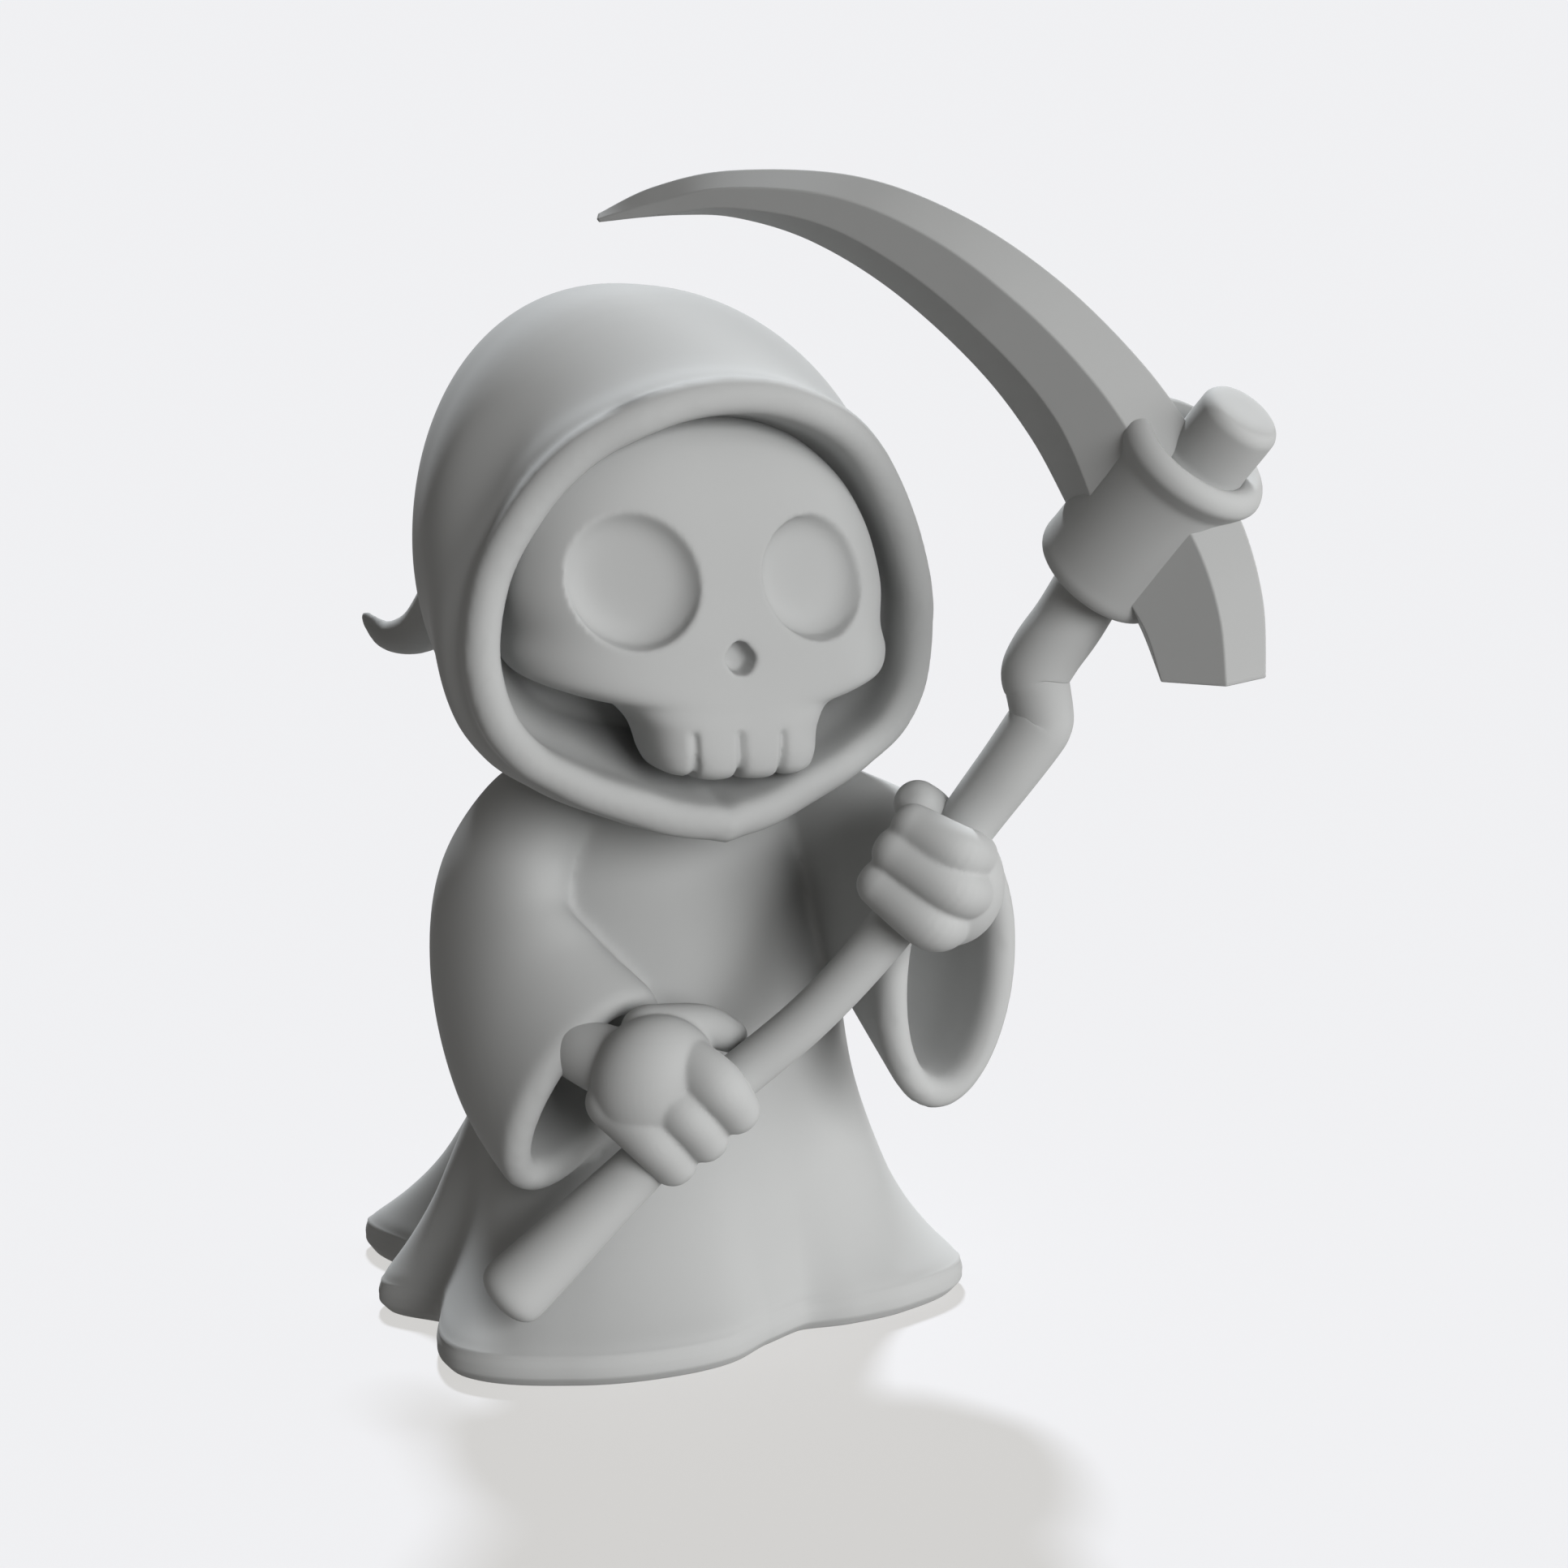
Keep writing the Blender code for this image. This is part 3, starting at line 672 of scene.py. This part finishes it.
@dataclass
class Skull:
    """The skull, with shallow round sockets, a drop shaped nose and four teeth.

    A row is a height, half the width there, and where the front and the back are.
    """

    x: float = -2.2
    rows: Rows = (
        (99.8, 0.0, -9.0, -9.0),
        (99.2, 6.5, -14.5, -3.0),
        (97.2, 11.8, -17.8, 0.0),
        (93.0, 16.8, -20.2, 2.0),
        (88.0, 19.6, -21.4, 2.0),
        (82.0, 20.9, -22.2, 2.0),
        (77.5, 20.5, -22.8, 2.0),
        (74.6, 20.9, -23.0, 2.0),
        (72.4, 19.6, -23.2, 0.0),
        (71.0, 15.8, -23.4, -4.0),
        (70.0, 11.6, -23.5, -7.0),
        (68.0, 9.6, -23.8, -10.0),
        (65.0, 8.9, -23.8, -11.5),
        (63.4, 7.9, -23.2, -12.5),
        (62.6, 5.3, -21.4, -14.0),
        (62.3, 0.0, -17.5, -17.5),
    )
    sockets: tuple[float, float] = (-10.6, 9.85)
    socket_z: float = 83.4
    socket_radii: tuple[float, float] = (7.0, 6.5)
    socket_depth: float = 3.1
    nose_z: float = 75.5
    nose_radius: float = 1.6
    skew: tuple[float, float] = (0.05, 0.05)
    tooth_width: float = 4.95
    tooth_top: float = 68.4
    groove: tuple[float, float] = (1.1, 0.34)
    groove_edge: tuple[float, float] = (0.3, 1.3)
    cell: float = 0.25

    def block(self, along: int = 220, around: int = 360) -> bmesh.types.BMesh:
        """The skull without its hollows.

        Args:
            along: Rings from the crown to the jaw.
            around: Points in a ring, set closer at the face.

        Returns:
            The closed block.
        """
        power = Curve(((0.0, 0.85), (0.6, 0.8), (0.72, 0.6), (1.0, 0.6)))
        turn = turns(around) - math.pi
        angles = turn * (0.55 + 0.45 * (turn / math.pi) ** 2)
        rings = []
        for number in range(along + 1):
            share = number / along
            height, wide, front, back = through(self.rows, share)
            grade = float(power.at(share)[0])
            side = np.sign(np.sin(angles)) * np.abs(np.sin(angles)) ** grade
            fore = np.sign(np.cos(angles)) * np.abs(np.cos(angles)) ** grade
            x = self.x + side * max(wide, 0.0)
            y = (front + back) / 2 - fore * max((back - front) / 2, 0.0)
            rings.append(np.stack([x, y, np.full_like(x, height)], axis=1))
        return loft(np.array(rings))

    def press(
        self, points: Net, middle: Sequence[float], face: Sequence[float], floor: Callable, width: float
    ) -> Net:
        """Press a hollow into the face.

        Args:
            points: The skull's points.
            middle: The hollow's middle.
            face: The way it faces.
            floor: Gives its height for sideways and upward distances from the middle.
            width: How wide its edge is rounded.

        Returns:
            The points with the hollow.
        """
        normal = unit(face)
        side = unit(np.cross((0.0, 0.0, 1.0), normal))
        up = np.cross(normal, side)
        from_middle = points - np.asarray(middle, float)
        height = from_middle @ normal
        lower = soft_low(height, floor(from_middle @ side, from_middle @ up), width)
        near = height > -9.0
        return points + np.where(near, lower - height, 0.0)[:, None] * normal

    def socket_floor(self, radius: float, across: Net, up: Net) -> Net:
        """Height of a socket's bowl, far above the face outside its wall."""
        share = np.hypot(across, up) / radius
        bowl = self.socket_depth * (0.6 * np.minimum(share, 1.2) ** 6 - 1.0)
        return bowl + 90.0 * np.maximum(share - 0.965, 0.0) ** 1.2

    def nose_floor(self, across: Net, up: Net) -> Net:
        """Height of the nose's floor, a drop that narrows upwards."""
        narrow = 1.0 - 0.3 * np.clip(up / self.nose_radius, 0.0, 1.0) ** 2
        share = np.hypot(across / narrow, up * 0.9) / self.nose_radius
        return -2.3 + 40.0 * np.maximum(share - 0.92, 0.0) ** 1.1

    def cut_teeth(self, points: Net) -> Net:
        """Press the three grooves between the teeth, down and round the jaw's lower edge."""
        axis = np.array([self.x, -14.0, 68.5])
        away = points - axis
        away[:, 2] *= 0.8
        inward = -away / np.maximum(np.linalg.norm(away, axis=1), 1e-6)[:, None]
        low = np.clip((self.tooth_top - points[:, 2]) / 0.9, 0.0, 1.0)
        low = low * low * (3 - 2 * low)
        fore = np.clip((-15.0 - points[:, 1]) / 3.0, 0.0, 1.0)
        deep = low * fore * (0.75 + 0.5 * np.clip((65.5 - points[:, 2]) / 2.5, 0.0, 1.0))
        across = points[:, 0] - self.x + 0.9
        broad = np.clip((66.8 - points[:, 2]) / 2.4, 0.0, 1.0)
        amount = np.zeros(len(points))
        depth, width = self.groove
        edge_depth, edge_width = self.groove_edge
        for number in (-1, 0, 1):
            off = across - number * self.tooth_width
            amount += depth * np.exp(-((off / width) ** 2))
            amount += edge_depth * broad * np.exp(-((off / edge_width) ** 2))
        return points + inward * (deep * amount)[:, None]

    def build(self) -> bpy.types.Object:
        """The skull with its hollows, set slightly askew as in the casting."""
        made = as_object("skull", [self.block()])
        points = points_of(made)
        for out, radius in zip(self.sockets, self.socket_radii):
            middle = (self.x + out, -21.4, self.socket_z)
            floor = partial(self.socket_floor, radius)
            points = self.press(points, middle, (math.copysign(0.2, out) - 0.1, -1, 0.0), floor, 0.7)
        points = self.press(points, (self.x, -22.9, self.nose_z), (0, -1, 0), self.nose_floor, 0.35)
        points = self.cut_teeth(points)
        drop = points[:, 2] - self.socket_z
        points[:, 2] -= self.skew[1] * (points[:, 0] - self.x)
        points[:, 0] -= self.skew[0] * drop
        move_points(made, points)
        fuse(made, self.cell, 3)
        return made


@dataclass
class Fists:
    """Both closed fists, each with a wrist, a palm, a thumb and three fingers."""

    palms: dict[Side, tuple[Row, Row]] = field(
        default_factory=lambda: {
            Side.RIGHT: ((-12.3, -24.6, 32.7), (6.8, 5.4, 6.9)),
            Side.LEFT: ((16.8, -33.0, 52.4), (5.8, 5.8, 6.6)),
        }
    )
    digits: dict[Side, tuple[Rows, ...]] = field(
        default_factory=lambda: {
            Side.RIGHT: (
                ((-18.4, -8.5, 35.4, 3.4), (-17.8, -17.2, 34.9, 3.4), (-14.4, -22.0, 33.4, 4.0)),
                ((-12.0, -22.0, 37.2, 2.8), (-6.4, -22.4, 37.2, 2.3), (-3.4, -23.2, 36.0, 1.8)),
                ((-10.4, -25.4, 35.2, 3.0), (-7.8, -29.4, 33.0, 2.9), (-5.4, -28.8, 30.0, 2.6)),
                ((-13.2, -24.8, 32.6, 3.0), (-10.8, -28.2, 30.2, 2.9), (-8.3, -27.5, 27.0, 2.6)),
                ((-16.4, -23.6, 30.6, 3.0), (-13.8, -26.6, 27.6, 2.9), (-11.2, -26.0, 24.4, 2.6)),
            ),
            Side.LEFT: (
                ((20, -18, 49, 3.6), (18.6, -27.0, 51.5, 3.6)),
                ((17.6, -29.8, 56.6, 2.8), (15.6, -30.8, 59.2, 2.7), (14.0, -31.6, 60.6, 2.5)),
                ((16.2, -33.6, 48.8, 3.0), (12.4, -37.4, 50.0, 3.0), (8.6, -34.4, 53.4, 2.6)),
                ((18.2, -34.8, 51.8, 3.0), (14.0, -38.8, 53.6, 2.9), (9.8, -35.4, 56.8, 2.6)),
                ((18.2, -35.0, 55.4, 2.9), (14.6, -38.6, 57.2, 2.8), (11.4, -35.9, 59.4, 2.4)),
            ),
        }
    )
    cell: float = 0.22

    def build(self, side: Side) -> bpy.types.Object:
        """Cast one fist as one skin."""
        parts = [ball(*self.palms[side])]
        parts += [rod(rows, 24, 40) for rows in self.digits[side]]
        made = as_object(f"{side.name.lower()}_fist", parts)
        fuse(made, self.cell, 4)
        return made


@dataclass
class Scythe:
    """The crooked handle, the ferrule at its head and the crescent blade.

    A blade row is where its back and its edge are in the blade's plane, across and up from the
    middle, and how far towards the edge the two ridges lie.
    """

    handle: Rows = (
        (-26.6, -19.6, 10.2, 3.9),
        (-20.8, -21.2, 15.9, 3.4),
        (-13.6, -23.5, 23.3, 2.8),
        (-6.0, -26.1, 31.0, 2.6),
        (3.2, -29.1, 39.0, 2.5),
        (11.1, -31.7, 48.2, 2.6),
        (18.9, -34.2, 59.5, 3.1),
        (22.2, -35.8, 64.6, 3.3),
        (24.7, -36.8, 68.5, 3.45),
        (25.2, -37.0, 69.7, 3.3),
        (24.8, -36.7, 72.8, 3.35),
        (24.6, -36.5, 74.2, 3.6),
        (25.7, -37.0, 76.6, 3.7),
        (27.6, -37.9, 79.6, 3.7),
        (29.6, -39.0, 83.6, 3.7),
        (30.8, -40.6, 86.8, 3.7),
    )
    foot: Row = (29.8, -39.3, 84.0)
    head: Row = (35.4, -50.0, 98.4)
    radius: float = 7.1
    lip: float = 8.05
    stub_shift: Row = (0.76, -0.52, -0.67)
    stub: float = 4.2
    stub_reach: float = 5.8
    stub_depth: float = 4.0
    middle: Row = (31.7, -45.4, 91.0)
    bearing: float = -52.0
    lean: float = -8.5
    thick: float = 7.6
    tip_share: float = 0.28
    swell: float = 1.5
    ridge_soft: float = 0.16
    blade: Rows = (
        (-59.2, 28.3, -58.6, 27.5, 0.51, 0.91),
        (-52.5, 31.3, -49.8, 28.4, 0.45, 0.85),
        (-43.2, 33.3, -42.9, 28.3, 0.30, 0.70),
        (-29.6, 33.2, -34.7, 26.2, 0.24, 0.63),
        (-18.3, 29.8, -26.0, 21.5, 0.23, 0.63),
        (-8.2, 23.8, -17.5, 14.4, 0.24, 0.63),
        (0.4, 15.9, -11.7, 7.2, 0.25, 0.64),
        (6.3, 8.0, -7.1, -1.4, 0.26, 0.73),
        (10.4, 0.3, -3.2, -7.3, 0.25, 0.85),
        (12.4, -7.5, -0.8, -11.5, 0.25, 0.84),
        (12.5, -15.4, 0.8, -15.7, 0.25, 0.84),
    )

    def build_handle(self) -> bpy.types.Object:
        """The handle, from its foot in the robe to the ferrule."""
        made = as_object("handle", [rod(self.handle, 180, 64, 0.5, 8)])
        ease(made, 14)
        return made

    def spun(self, profile: Rows, foot: Net, steps: int) -> bmesh.types.BMesh:
        """A piece spun from its profile about a line along the ferrule.

        Args:
            profile: Rows of reach from the foot and radius.
            foot: Where the line starts.
            steps: Points in a ring.

        Returns:
            The closed skin.
        """
        net = np.array([[(radius, 0.0, height)] for height, radius in profile])
        work = bmesh.new()
        line = [work.verts.new(Vector(spot[0]) * MM) for spot in between(net, 4)]
        edges = [work.edges.new(pair) for pair in zip(line, line[1:])]
        bmesh.ops.spin(
            work, geom=line + edges, cent=(0, 0, 0), axis=(0, 0, 1), dvec=(0, 0, 0), angle=TURN, steps=steps,
            use_merge=True, use_duplicate=False,
        )
        bmesh.ops.remove_doubles(work, verts=work.verts, dist=1e-6)
        bmesh.ops.recalc_face_normals(work, faces=work.faces)
        way = Vector(self.head) - Vector(self.foot)
        place = Matrix.Translation(Vector(foot) * MM) @ way.to_track_quat("Z", "Y").to_matrix().to_4x4()
        bmesh.ops.transform(work, matrix=place, verts=work.verts)
        return work

    def build_ferrule(self) -> bpy.types.Object:
        """The ferrule with its rolled lip, and the handle's end standing in it."""
        long = float(np.linalg.norm(np.subtract(self.head, self.foot)))
        body = self.radius
        lip = self.lip
        profile = [(0.4, 0.0), (0.0, body - 2.4), (0.12, body - 1.2), (0.5, body - 0.4)]
        profile += [(1.4, body), (3.0, body)]
        profile += [(long - 4.6, body), (long - 3.8, body + 0.12), (long - 2.9, lip - 0.4), (long - 1.9, lip)]
        profile += [(long - 0.8, lip - 0.4), (long - 0.15, lip - 1.4), (long - 0.5, lip - 2.4)]
        profile += [(long - 1.3, lip - 2.9), (long - 1.6, lip - 3.4), (long - 1.6, 0.0)]
        stub = self.stub
        reach = self.stub_reach
        end = [(-self.stub_depth, 0.0), (-self.stub_depth, stub), (-1.6, stub + 0.3), (-0.8, stub + 0.05)]
        end += [(0.4, stub), (reach - 2.0, stub), (reach - 1.0, stub - 0.08), (reach - 0.3, stub - 0.6)]
        end += [(reach, stub - 1.6), (reach + 0.05, 0.0)]
        parts = [self.spun(profile, np.asarray(self.foot, float), 112)]
        parts.append(self.spun(end, np.add(self.head, self.stub_shift), 80))
        return as_object("ferrule", parts)

    def section(self, place: float, spine: float, bevel: float) -> Net:
        """The blade's six corners at one station, as inward share and lift from its middle plane."""
        half = self.thick / 2 * min(1.0, self.tip_share + self.swell * place)
        corners = ((0.0, 0.12), (spine, 1.0), (bevel, 1.0), (1.0, 0.06), (bevel, -1.0), (spine, -1.0))
        return np.array([(inward, lift * half) for inward, lift in corners])

    def build_blade(self, along: int = 140) -> bpy.types.Object:
        """The crescent, six sided in section with barely softened ridges, cut square at its tail."""
        bearing = math.radians(self.bearing)
        lean = math.radians(self.lean)
        right = np.array([math.cos(bearing), math.sin(bearing), 0.0])
        flat = np.array([math.sin(bearing), -math.cos(bearing), 0.0])
        toward = flat * math.cos(lean) + np.array([0.0, 0.0, math.sin(lean)])
        upright = np.cross(toward, right)
        rings = []
        for number in range(along + 1):
            place = number / along
            station = through(self.blade, place)
            back = station[0:2]
            span = station[2:4] - back
            corners = self.section(place, station[4], station[5])
            corners[:, 0] *= float(np.linalg.norm(span))
            way = unit(span)
            ring = []
            for index in range(6):
                here = corners[index]
                last = corners[index - 1] - here
                after = corners[(index + 1) % 6] - here
                shorter = min(float(np.linalg.norm(last)), float(np.linalg.norm(after)))
                soft = min(self.ridge_soft, 0.3 * shorter)
                start = here + unit(last) * soft
                end = here + unit(after) * soft
                ring.append(here + unit(last) * soft * 1.5)
                for step in range(5):
                    part = step / 4
                    ring.append(start * (1 - part) ** 2 + here * 2 * part * (1 - part) + end * part**2)
                ring.append(here + unit(after) * soft * 1.5)
            cut = np.array(ring)
            plane = back + cut[:, 0:1] * way
            spots = np.asarray(self.middle, float) + plane[:, 0:1] * right + plane[:, 1:2] * upright
            rings.append(spots + toward * cut[:, 1:2])
        first = rings[0].mean(axis=0)
        last = rings[-1].mean(axis=0)
        start = [first + (rings[0] - first) * share for share in (0.0, 0.6)]
        end = [last + (rings[-1] - last) * share - (0, 0, 0.12) for share in (0.985, 0.6, 0.0)]
        return as_object("blade", [loft(np.array(start + rings + end))])


def skin_group() -> bpy.types.NodeTree:
    """The casting's skin, shared by every finish: faint mottle, fine grain and a few dust nibs.

    Returns:
        A node group with a colour, a roughness and a height.
    """
    group = bpy.data.node_groups.new("cast_skin", "ShaderNodeTree")
    face = group.interface
    tone = face.new_socket("Tone", in_out="INPUT", socket_type="NodeSocketColor")
    tone.default_value = (0.42, 0.43, 0.42, 1.0)
    for label, value in (("Mottle", 0.04), ("Gloss", 0.6), ("Grain", 1.0), ("Nibs", 1.0)):
        face.new_socket(label, in_out="INPUT", socket_type="NodeSocketFloat").default_value = value
    face.new_socket("Colour", in_out="OUTPUT", socket_type="NodeSocketColor")
    face.new_socket("Roughness", in_out="OUTPUT", socket_type="NodeSocketFloat")
    face.new_socket("Height", in_out="OUTPUT", socket_type="NodeSocketFloat")
    nodes = group.nodes
    links = group.links
    given = nodes.new("NodeGroupInput")
    result = nodes.new("NodeGroupOutput")
    where = nodes.new("ShaderNodeTexCoord")

    def noise(scale: float, detail: float) -> bpy.types.Node:
        """A noise on the casting's own coordinates."""
        node = nodes.new("ShaderNodeTexNoise")
        node.inputs["Scale"].default_value = scale
        node.inputs["Detail"].default_value = detail
        links.new(where.outputs["Object"], node.inputs["Vector"])
        return node

    def sums(kind: str, first: object, second: object, third: object = None) -> bpy.types.NodeSocket:
        """A Math node's output for sockets or plain numbers."""
        node = nodes.new("ShaderNodeMath")
        node.operation = kind
        for index, value in enumerate((first, second, third)):
            if isinstance(value, bpy.types.NodeSocket):
                links.new(value, node.inputs[index])
            elif value is not None:
                node.inputs[index].default_value = value
        return node.outputs[0]

    cloud = noise(CLOUD_SCALE, 3.0)
    fine = noise(GRAIN_SCALE, 2.0)
    bright = sums("MULTIPLY_ADD", sums("SUBTRACT", cloud.outputs["Fac"], 0.5), given.outputs["Mottle"], 1.0)
    scaled = nodes.new("ShaderNodeVectorMath")
    scaled.operation = "SCALE"
    links.new(given.outputs["Tone"], scaled.inputs[0])
    links.new(bright, scaled.inputs["Scale"])
    links.new(scaled.outputs[0], result.inputs["Colour"])
    cloudy = sums("SUBTRACT", cloud.outputs["Fac"], 0.5)
    rough = sums("MULTIPLY_ADD", cloudy, GLOSS_MOTTLE, given.outputs["Gloss"])
    links.new(rough, result.inputs["Roughness"])
    cells = nodes.new("ShaderNodeTexVoronoi")
    cells.inputs["Scale"].default_value = NIB_SCALE
    links.new(where.outputs["Object"], cells.inputs["Vector"])
    nib = sums("MAXIMUM", sums("SUBTRACT", NIB_SIZE, cells.outputs["Distance"]), 0.0)
    nib = sums("MULTIPLY", sums("MULTIPLY", nib, NIB_HEIGHT), given.outputs["Nibs"])
    grain = sums("MULTIPLY", sums("SUBTRACT", fine.outputs["Fac"], 0.5), given.outputs["Grain"])
    links.new(sums("ADD", grain, nib), result.inputs["Height"])
    return group


@dataclass(frozen=True)
class Resin:
    """A finish of the cast grey resin.

    The tone is linear, and the grain is the height of its bump in millimetres.
    """

    name: str
    tone: tuple[float, float, float] = (0.42, 0.426, 0.424)
    gloss: float = 0.85
    mottle: float = 0.05
    grain: float = 0.006
    nibs: float = 1.0

    def make(self, group: bpy.types.NodeTree) -> bpy.types.Material:
        """Build the material from the shared skin.

        Args:
            group: The shared node group.

        Returns:
            The material.
        """
        made = bpy.data.materials.new(self.name)
        made.use_nodes = True
        nodes = made.node_tree.nodes
        links = made.node_tree.links
        shader = nodes["Principled BSDF"]
        shader.inputs["IOR"].default_value = 1.4
        skin = nodes.new("ShaderNodeGroup")
        skin.node_tree = group
        skin.inputs["Tone"].default_value = (*self.tone, 1.0)
        skin.inputs["Mottle"].default_value = self.mottle
        skin.inputs["Gloss"].default_value = self.gloss
        skin.inputs["Grain"].default_value = 1.0
        skin.inputs["Nibs"].default_value = self.nibs
        bump = nodes.new("ShaderNodeBump")
        bump.inputs["Strength"].default_value = 0.5
        bump.inputs["Distance"].default_value = self.grain * MM
        links.new(skin.outputs["Colour"], shader.inputs["Base Color"])
        links.new(skin.outputs["Roughness"], shader.inputs["Roughness"])
        links.new(skin.outputs["Height"], bump.inputs["Height"])
        links.new(bump.outputs["Normal"], shader.inputs["Normal"])
        return made


@dataclass(frozen=True)
class Sun:
    """A soft light from far away: the way it comes from, its strength, width in degrees and colour."""

    name: str
    way: Row
    power: float
    soft: float
    tone: Row = (1.0, 1.0, 1.0)

    def build(self) -> bpy.types.Object:
        """Make the light.

        Returns:
            The light, turned to shine from its way.
        """
        light = bpy.data.lights.new(self.name, "SUN")
        light.energy = self.power
        light.angle = math.radians(self.soft)
        light.color = self.tone
        made = bpy.data.objects.new(self.name, light)
        made.rotation_euler = Vector(self.way).to_track_quat("Z", "Y").to_euler()
        bpy.context.collection.objects.link(made)
        return made


@dataclass
class Studio:
    """A pale floor, soft light and the camera of the photograph."""

    target: Row = (0.0112, -0.0052, 0.0575)
    azimuth: float = -25.0
    pitch: float = 13.0
    distance: float = 0.4
    lens: float = 85.0
    floor_tone: Row = (0.25, 0.254, 0.28)
    floor_glow: Row = (0.612, 0.604, 0.588)
    floor_half: float = 30.0
    ambient_tone: Row = (1.0, 0.97, 0.93)
    ambient: float = 0.145
    backdrop: Row = (0.872, 0.88, 0.893)
    key: Sun = Sun("key", (0.17, -0.95, 0.24), 2.54, 36.0)
    fill: Sun = Sun("fill", (0.8, -0.56, 0.14), 1.8, 50.0)
    back: Sun = Sun("back", (0.23, 0.66, 0.71), 4.2, 6.5, (0.94, 0.97, 1.0))

    def floor(self) -> bpy.types.Object:
        """A wide pale floor."""
        work = bmesh.new()
        bmesh.ops.create_grid(work, x_segments=2, y_segments=2, size=self.floor_half)
        made = as_object("floor", [work])
        made.visible_diffuse = False
        finish = bpy.data.materials.new("floor_paper")
        finish.use_nodes = True
        shader = finish.node_tree.nodes["Principled BSDF"]
        shader.inputs["Base Color"].default_value = (*self.floor_tone, 1.0)
        shader.inputs["Roughness"].default_value = 1.0
        shader.inputs["Specular IOR Level"].default_value = 0.0
        shader.inputs["Emission Color"].default_value = (*self.floor_glow, 1.0)
        shader.inputs["Emission Strength"].default_value = 1.0
        made.data.materials.append(finish)
        return made

    def world(self) -> None:
        """A pale surround that lights the figure only faintly."""
        surround = bpy.data.worlds.new("surround")
        surround.use_nodes = True
        nodes = surround.node_tree.nodes
        links = surround.node_tree.links
        back = nodes["Background"]
        back.inputs["Color"].default_value = (*self.ambient_tone, 1.0)
        back.inputs["Strength"].default_value = self.ambient
        seen = nodes.new("ShaderNodeBackground")
        seen.inputs["Color"].default_value = (*self.backdrop, 1.0)
        path = nodes.new("ShaderNodeLightPath")
        mix = nodes.new("ShaderNodeMixShader")
        links.new(path.outputs["Is Camera Ray"], mix.inputs["Fac"])
        links.new(back.outputs[0], mix.inputs[1])
        links.new(seen.outputs[0], mix.inputs[2])
        links.new(mix.outputs[0], nodes["World Output"].inputs["Surface"])
        bpy.context.scene.world = surround

    def camera(self) -> None:
        """The camera at the photograph's viewing angle."""
        azimuth = math.radians(self.azimuth)
        pitch = math.radians(self.pitch)
        level = math.cos(pitch)
        back = Vector((math.sin(azimuth) * level, -math.cos(azimuth) * level, math.sin(pitch)))
        lens = bpy.data.cameras.new("camera")
        lens.lens = self.lens
        lens.sensor_width = 36.0
        lens.clip_end = 100.0
        made = bpy.data.objects.new("camera", lens)
        made.location = Vector(self.target) + back * self.distance
        made.rotation_euler = (-back).to_track_quat("-Z", "Y").to_euler()
        bpy.context.collection.objects.link(made)
        bpy.context.scene.camera = made

    def build(self, pieces: Sequence[bpy.types.Object]) -> None:
        """Set the floor, lights, surround and camera.

        Args:
            pieces: The figure's pieces, which alone catch the low front light.
        """
        self.floor()
        lit = bpy.data.collections.new("lit_from_front")
        for piece in pieces:
            lit.objects.link(piece)
        for sun in (self.key, self.fill):
            sun.build().light_linking.receiver_collection = lit
        self.back.build()
        self.world()
        self.camera()
        bpy.context.scene.view_settings.view_transform = "Standard"


def place(made: bpy.types.Object, finish: bpy.types.Material) -> bpy.types.Object:
    """Dress a piece and set it on the casting's body.

    Args:
        made: The piece.
        finish: Its material.

    Returns:
        The piece.
    """
    made.data.materials.clear()
    made.data.materials.append(finish)
    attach(made, BODY)
    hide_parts(NODE)
    made.data.calc_loop_triangles()
    log.info("%s: %d triangles", made.name, len(made.data.loop_triangles))
    return made


def main() -> None:
    """Build the figure part by part, then the studio round it."""
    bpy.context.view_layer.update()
    skin = skin_group()
    cloth = Resin("resin_cloth").make(skin)
    bone = Resin("resin_bone", mottle=0.04, gloss=0.8).make(skin)
    tool = Resin("resin_tool", gloss=0.75, grain=0.004).make(skin)
    pieces = [place(Cloak().build(), cloth), place(Hood().build(), cloth), place(Skull().build(), bone)]
    fists = Fists()
    pieces += [place(fists.build(side), bone) for side in Side]
    scythe = Scythe()
    pieces += [place(scythe.build_handle(), tool), place(scythe.build_ferrule(), tool)]
    pieces.append(place(scythe.build_blade(), tool))
    Studio().build(pieces)
    bpy.context.view_layer.update()


if __name__ == "__main__":
    main()
